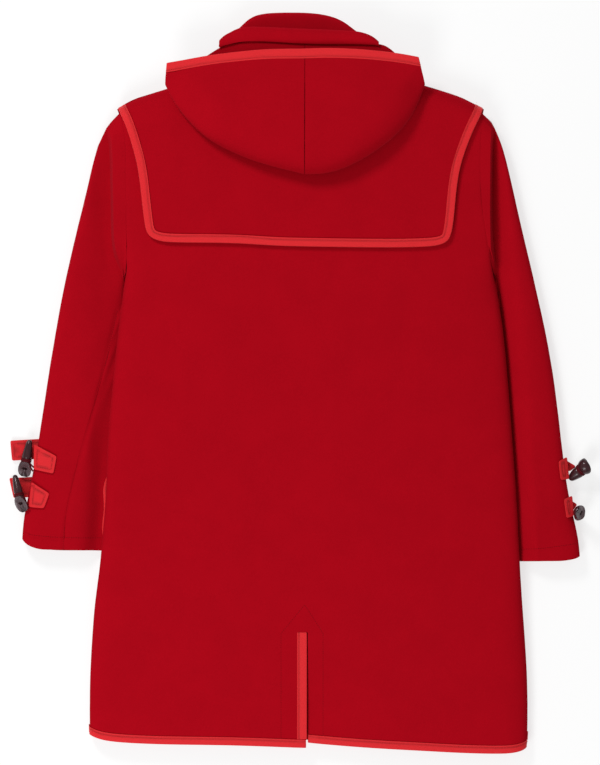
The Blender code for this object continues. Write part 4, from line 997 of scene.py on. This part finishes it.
class COAT_OT_back(bpy.types.Operator):
    """Makes the back with its vent, the wing under the vent and their bindings"""

    bl_idname = "coat.back"
    bl_label = "Back"

    def execute(self, context):
        back = wool_piece("back", creases=back_creases)
        trims = [laid_stitches("vent_stitches", back, [VENT_HOUSE])]
        trims += bound("vent_tape", "hem_tape_back_left", "hem_tape_back_right")
        wing = wool_piece("vent_underlay")
        return {"FINISHED"}


class COAT_OT_fronts(bpy.types.Operator):
    """Makes the fronts with their pockets, bindings and patches, and the yoke's front wings"""

    bl_idname = "coat.fronts"
    bl_label = "Fronts"

    def execute(self, context):
        for side, kind in (("left", "patch"), ("right", "loop")):
            front = wool_piece("front_" + side)
            trims = bound("front_tape_" + side, "hem_tape_front_" + side)
            trims += patches(*(f"front_{number}_{kind}" for number in range(1, 5)))
            pocket = wool_piece("pocket_" + side)
            bound("pocket_tape_" + side)
            wing = wool_piece("yoke_front_" + side)
        return {"FINISHED"}


class COAT_OT_yoke(bpy.types.Operator):
    """Makes the yoke over the shoulders, with its binding"""

    bl_idname = "coat.yoke"
    bl_label = "Yoke"

    def execute(self, context):
        yoke = wool_piece("yoke")
        bound("yoke_tape")
        return {"FINISHED"}


class COAT_OT_sleeves(bpy.types.Operator):
    """Makes both sleeves, each of two pieces, with stitched turn-ups and patches at the cuffs"""

    bl_idname = "coat.sleeves"
    bl_label = "Sleeves"

    def execute(self, context):
        for side in ("left", "right"):
            for part, kind, levels, reach in (
                ("upper", "patch", UPPER_LEVELS, None),
                ("under", "loop", None, ARMHOLE_REACH),
            ):
                node = f"sleeve_{part}_{side}"
                piece = wool_piece(node, levels, SLEEVE_OUT, reach, cuff_creases(side))
                paths = [CUFF_LINES[side]]
                if node == "sleeve_upper_left":
                    paths.append(SLEEVE_SEAM)
                sewn = laid_stitches(f"cuff_stitches_{part}_{side}", piece, paths)
                trims = patches(f"cuff_{side}_upper_{kind}", f"cuff_{side}_lower_{kind}")
        return {"FINISHED"}


class COAT_OT_hood(bpy.types.Operator):
    """Makes the two halves of the hood, its binding and the neck inside its mouth"""

    bl_idname = "coat.hood"
    bl_label = "Hood and Neck"

    def execute(self, context):
        for node in ("hood_left", "hood_right", "neck_roll", "neck_front"):
            piece = wool_piece(node)
            trims = bound("hood_tape") if node == "hood_left" else []
        return {"FINISHED"}


TOGGLE_LOOKS = {  # which way each shown toggle turns its cut, and its thickness
    "cuff_left_upper_toggle": ((-0.15, 0, 1), 1.08),
    "cuff_left_lower_toggle": ((-0.45, -0.3, 1), 1.0),
    "cuff_right_upper_toggle": ((1.0, 0.7, 0.2), 1.3),
    "cuff_right_lower_toggle": ((1, -1, -1.5), 1.1),
}
HIDDEN_LOOK = ((0, 0, -1), 0.75)  # the same for the toggles under the coat


def anchor_of(node, waist):
    """Where the cord of a shown toggle is held: the side of its patch or loop that is nearest."""
    held = "_patch" if "_left_" in node else "_loop"
    strap = [v.co for v in frame["nodes"][node.replace("_toggle", held)].data.vertices]
    near = sorted(strap, key=lambda place: (place - waist).length)
    return (near[0] + near[1]) / 2


class COAT_OT_toggles(bpy.types.Operator):
    """Makes the horn toggles and the cords that tie them"""

    bl_idname = "coat.toggles"
    bl_label = "Toggles"

    def execute(self, context):
        for node in sorted(frame["nodes"]):
            if node.endswith("_toggle"):
                facing, size = TOGGLE_LOOKS.get(node, HIDDEN_LOOK)
                waist, way = toggle(node, facing, size)
                anchor = anchor_of(node, waist) if node in TOGGLE_LOOKS else None
                toggle_cord(node, waist, way, anchor, size)
        return {"FINISHED"}


FLOOR_REACH = 4  # from the middle of the floor to its edge
FLOOR_DROP = 0.2 * MM  # the floor lies this far under the coat
LAMPS = {  # place and size of each soft light
    "key": ((-1.1, 1.8, 1.8), 0.7),
    "low": ((-0.9, -1.9, 2.0), 1.4),
}
WHITE = (1, 1, 1, 1)
FILM = 36.0  # width of the camera's film, in mm
SIGHT = 50.0  # how far the camera sees
VIEW_CENTRE = (-0.7 * MM, -0.7 * MM)
VIEW_PLANE = 20 * MM  # height of the coat's face, where the view has its stated height


class COAT_OT_stage(bpy.types.Operator):
    """Sets the pale floor, the soft light and the camera straight above the coat"""

    bl_idname = "coat.stage"
    bl_label = "Stage"

    def execute(self, context):
        stage = context.scene.coat_stage
        self.lay_floor(context, stage)
        for name, (place, size) in LAMPS.items():
            light = bpy.data.lights.new(name, "AREA")
            light.shape = "DISK"
            light.size = size
            light.energy = getattr(stage, name)
            lamp = bpy.data.objects.new(name, light)
            lamp.location = place
            lamp.rotation_euler = (-Vector(place)).to_track_quat("-Z", "Y").to_euler()
            context.scene.collection.objects.link(lamp)
        world = bpy.data.worlds.new("soft_sky")
        world.use_nodes = True
        sky = world.node_tree.nodes["Background"]
        sky.inputs["Color"].default_value = WHITE
        sky.inputs["Strength"].default_value = stage.sky
        context.scene.world = world
        context.scene.view_settings.view_transform = "Standard"
        self.set_camera(context, stage)
        return {"FINISHED"}

    def lay_floor(self, context, stage):
        mesh = bmesh.new()
        bmesh.ops.create_grid(mesh, x_segments=1, y_segments=1, size=FLOOR_REACH)
        bmesh.ops.translate(mesh, verts=mesh.verts, vec=(0, 0, -FLOOR_DROP))
        data = bpy.data.meshes.new("floor")
        mesh.to_mesh(data)
        mesh.free()
        pale = Nodes("pale_floor", stage.floor, roughness=0.9)
        pale.shader.inputs["Emission Color"].default_value = WHITE
        pale.shader.inputs["Emission Strength"].default_value = stage.glow
        data.materials.append(pale.finish)
        floor = bpy.data.objects.new("floor", data)
        context.scene.collection.objects.link(floor)

    def set_camera(self, context, stage):
        lens = bpy.data.cameras.new("camera")
        lens.sensor_fit = "AUTO"
        lens.sensor_width = FILM
        lens.lens = FILM * stage.height / stage.view
        lens.clip_end = SIGHT
        camera = bpy.data.objects.new("camera", lens)
        camera.location = (*VIEW_CENTRE, VIEW_PLANE + stage.height)
        context.scene.collection.objects.link(camera)
        context.scene.camera = camera


class COAT_PT_finish(bpy.types.Panel):
    bl_label = "Duffle Coat"
    bl_idname = "COAT_PT_finish"
    bl_space_type = "VIEW_3D"
    bl_region_type = "UI"
    bl_category = "Coat"

    def draw(self, context):
        for group in SETTINGS:
            settings = getattr(context.scene, group)
            for name in settings.bl_rna.properties.keys():
                if name not in ("rna_type", "name"):
                    self.layout.prop(settings, name)
        for step in STEPS:
            self.layout.operator(step.bl_idname)


SETTINGS = {
    "coat_cloth": CoatCloth,
    "coat_sewing": CoatSewing,
    "coat_horn": CoatHorn,
    "coat_stage": CoatStage,
}
STEPS = [
    COAT_OT_stage,
    COAT_OT_back,
    COAT_OT_fronts,
    COAT_OT_yoke,
    COAT_OT_sleeves,
    COAT_OT_hood,
    COAT_OT_toggles,
]


def register():
    for group, kind in SETTINGS.items():
        bpy.utils.register_class(kind)
        setattr(bpy.types.Scene, group, PointerProperty(type=kind))
    for kind in [*STEPS, COAT_PT_finish]:
        bpy.utils.register_class(kind)


def unregister():
    for kind in [COAT_PT_finish, *reversed(STEPS)]:
        bpy.utils.unregister_class(kind)
    for group, kind in SETTINGS.items():
        delattr(bpy.types.Scene, group)
        bpy.utils.unregister_class(kind)


def main():
    for old in list(bpy.data.objects):
        if "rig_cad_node" not in old and not old.name.startswith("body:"):
            bpy.data.objects.remove(old)
    register()
    for step in STEPS:
        group, name = step.bl_idname.split(".")
        getattr(getattr(bpy.ops, group), name)()


if __name__ == "__main__":
    main()
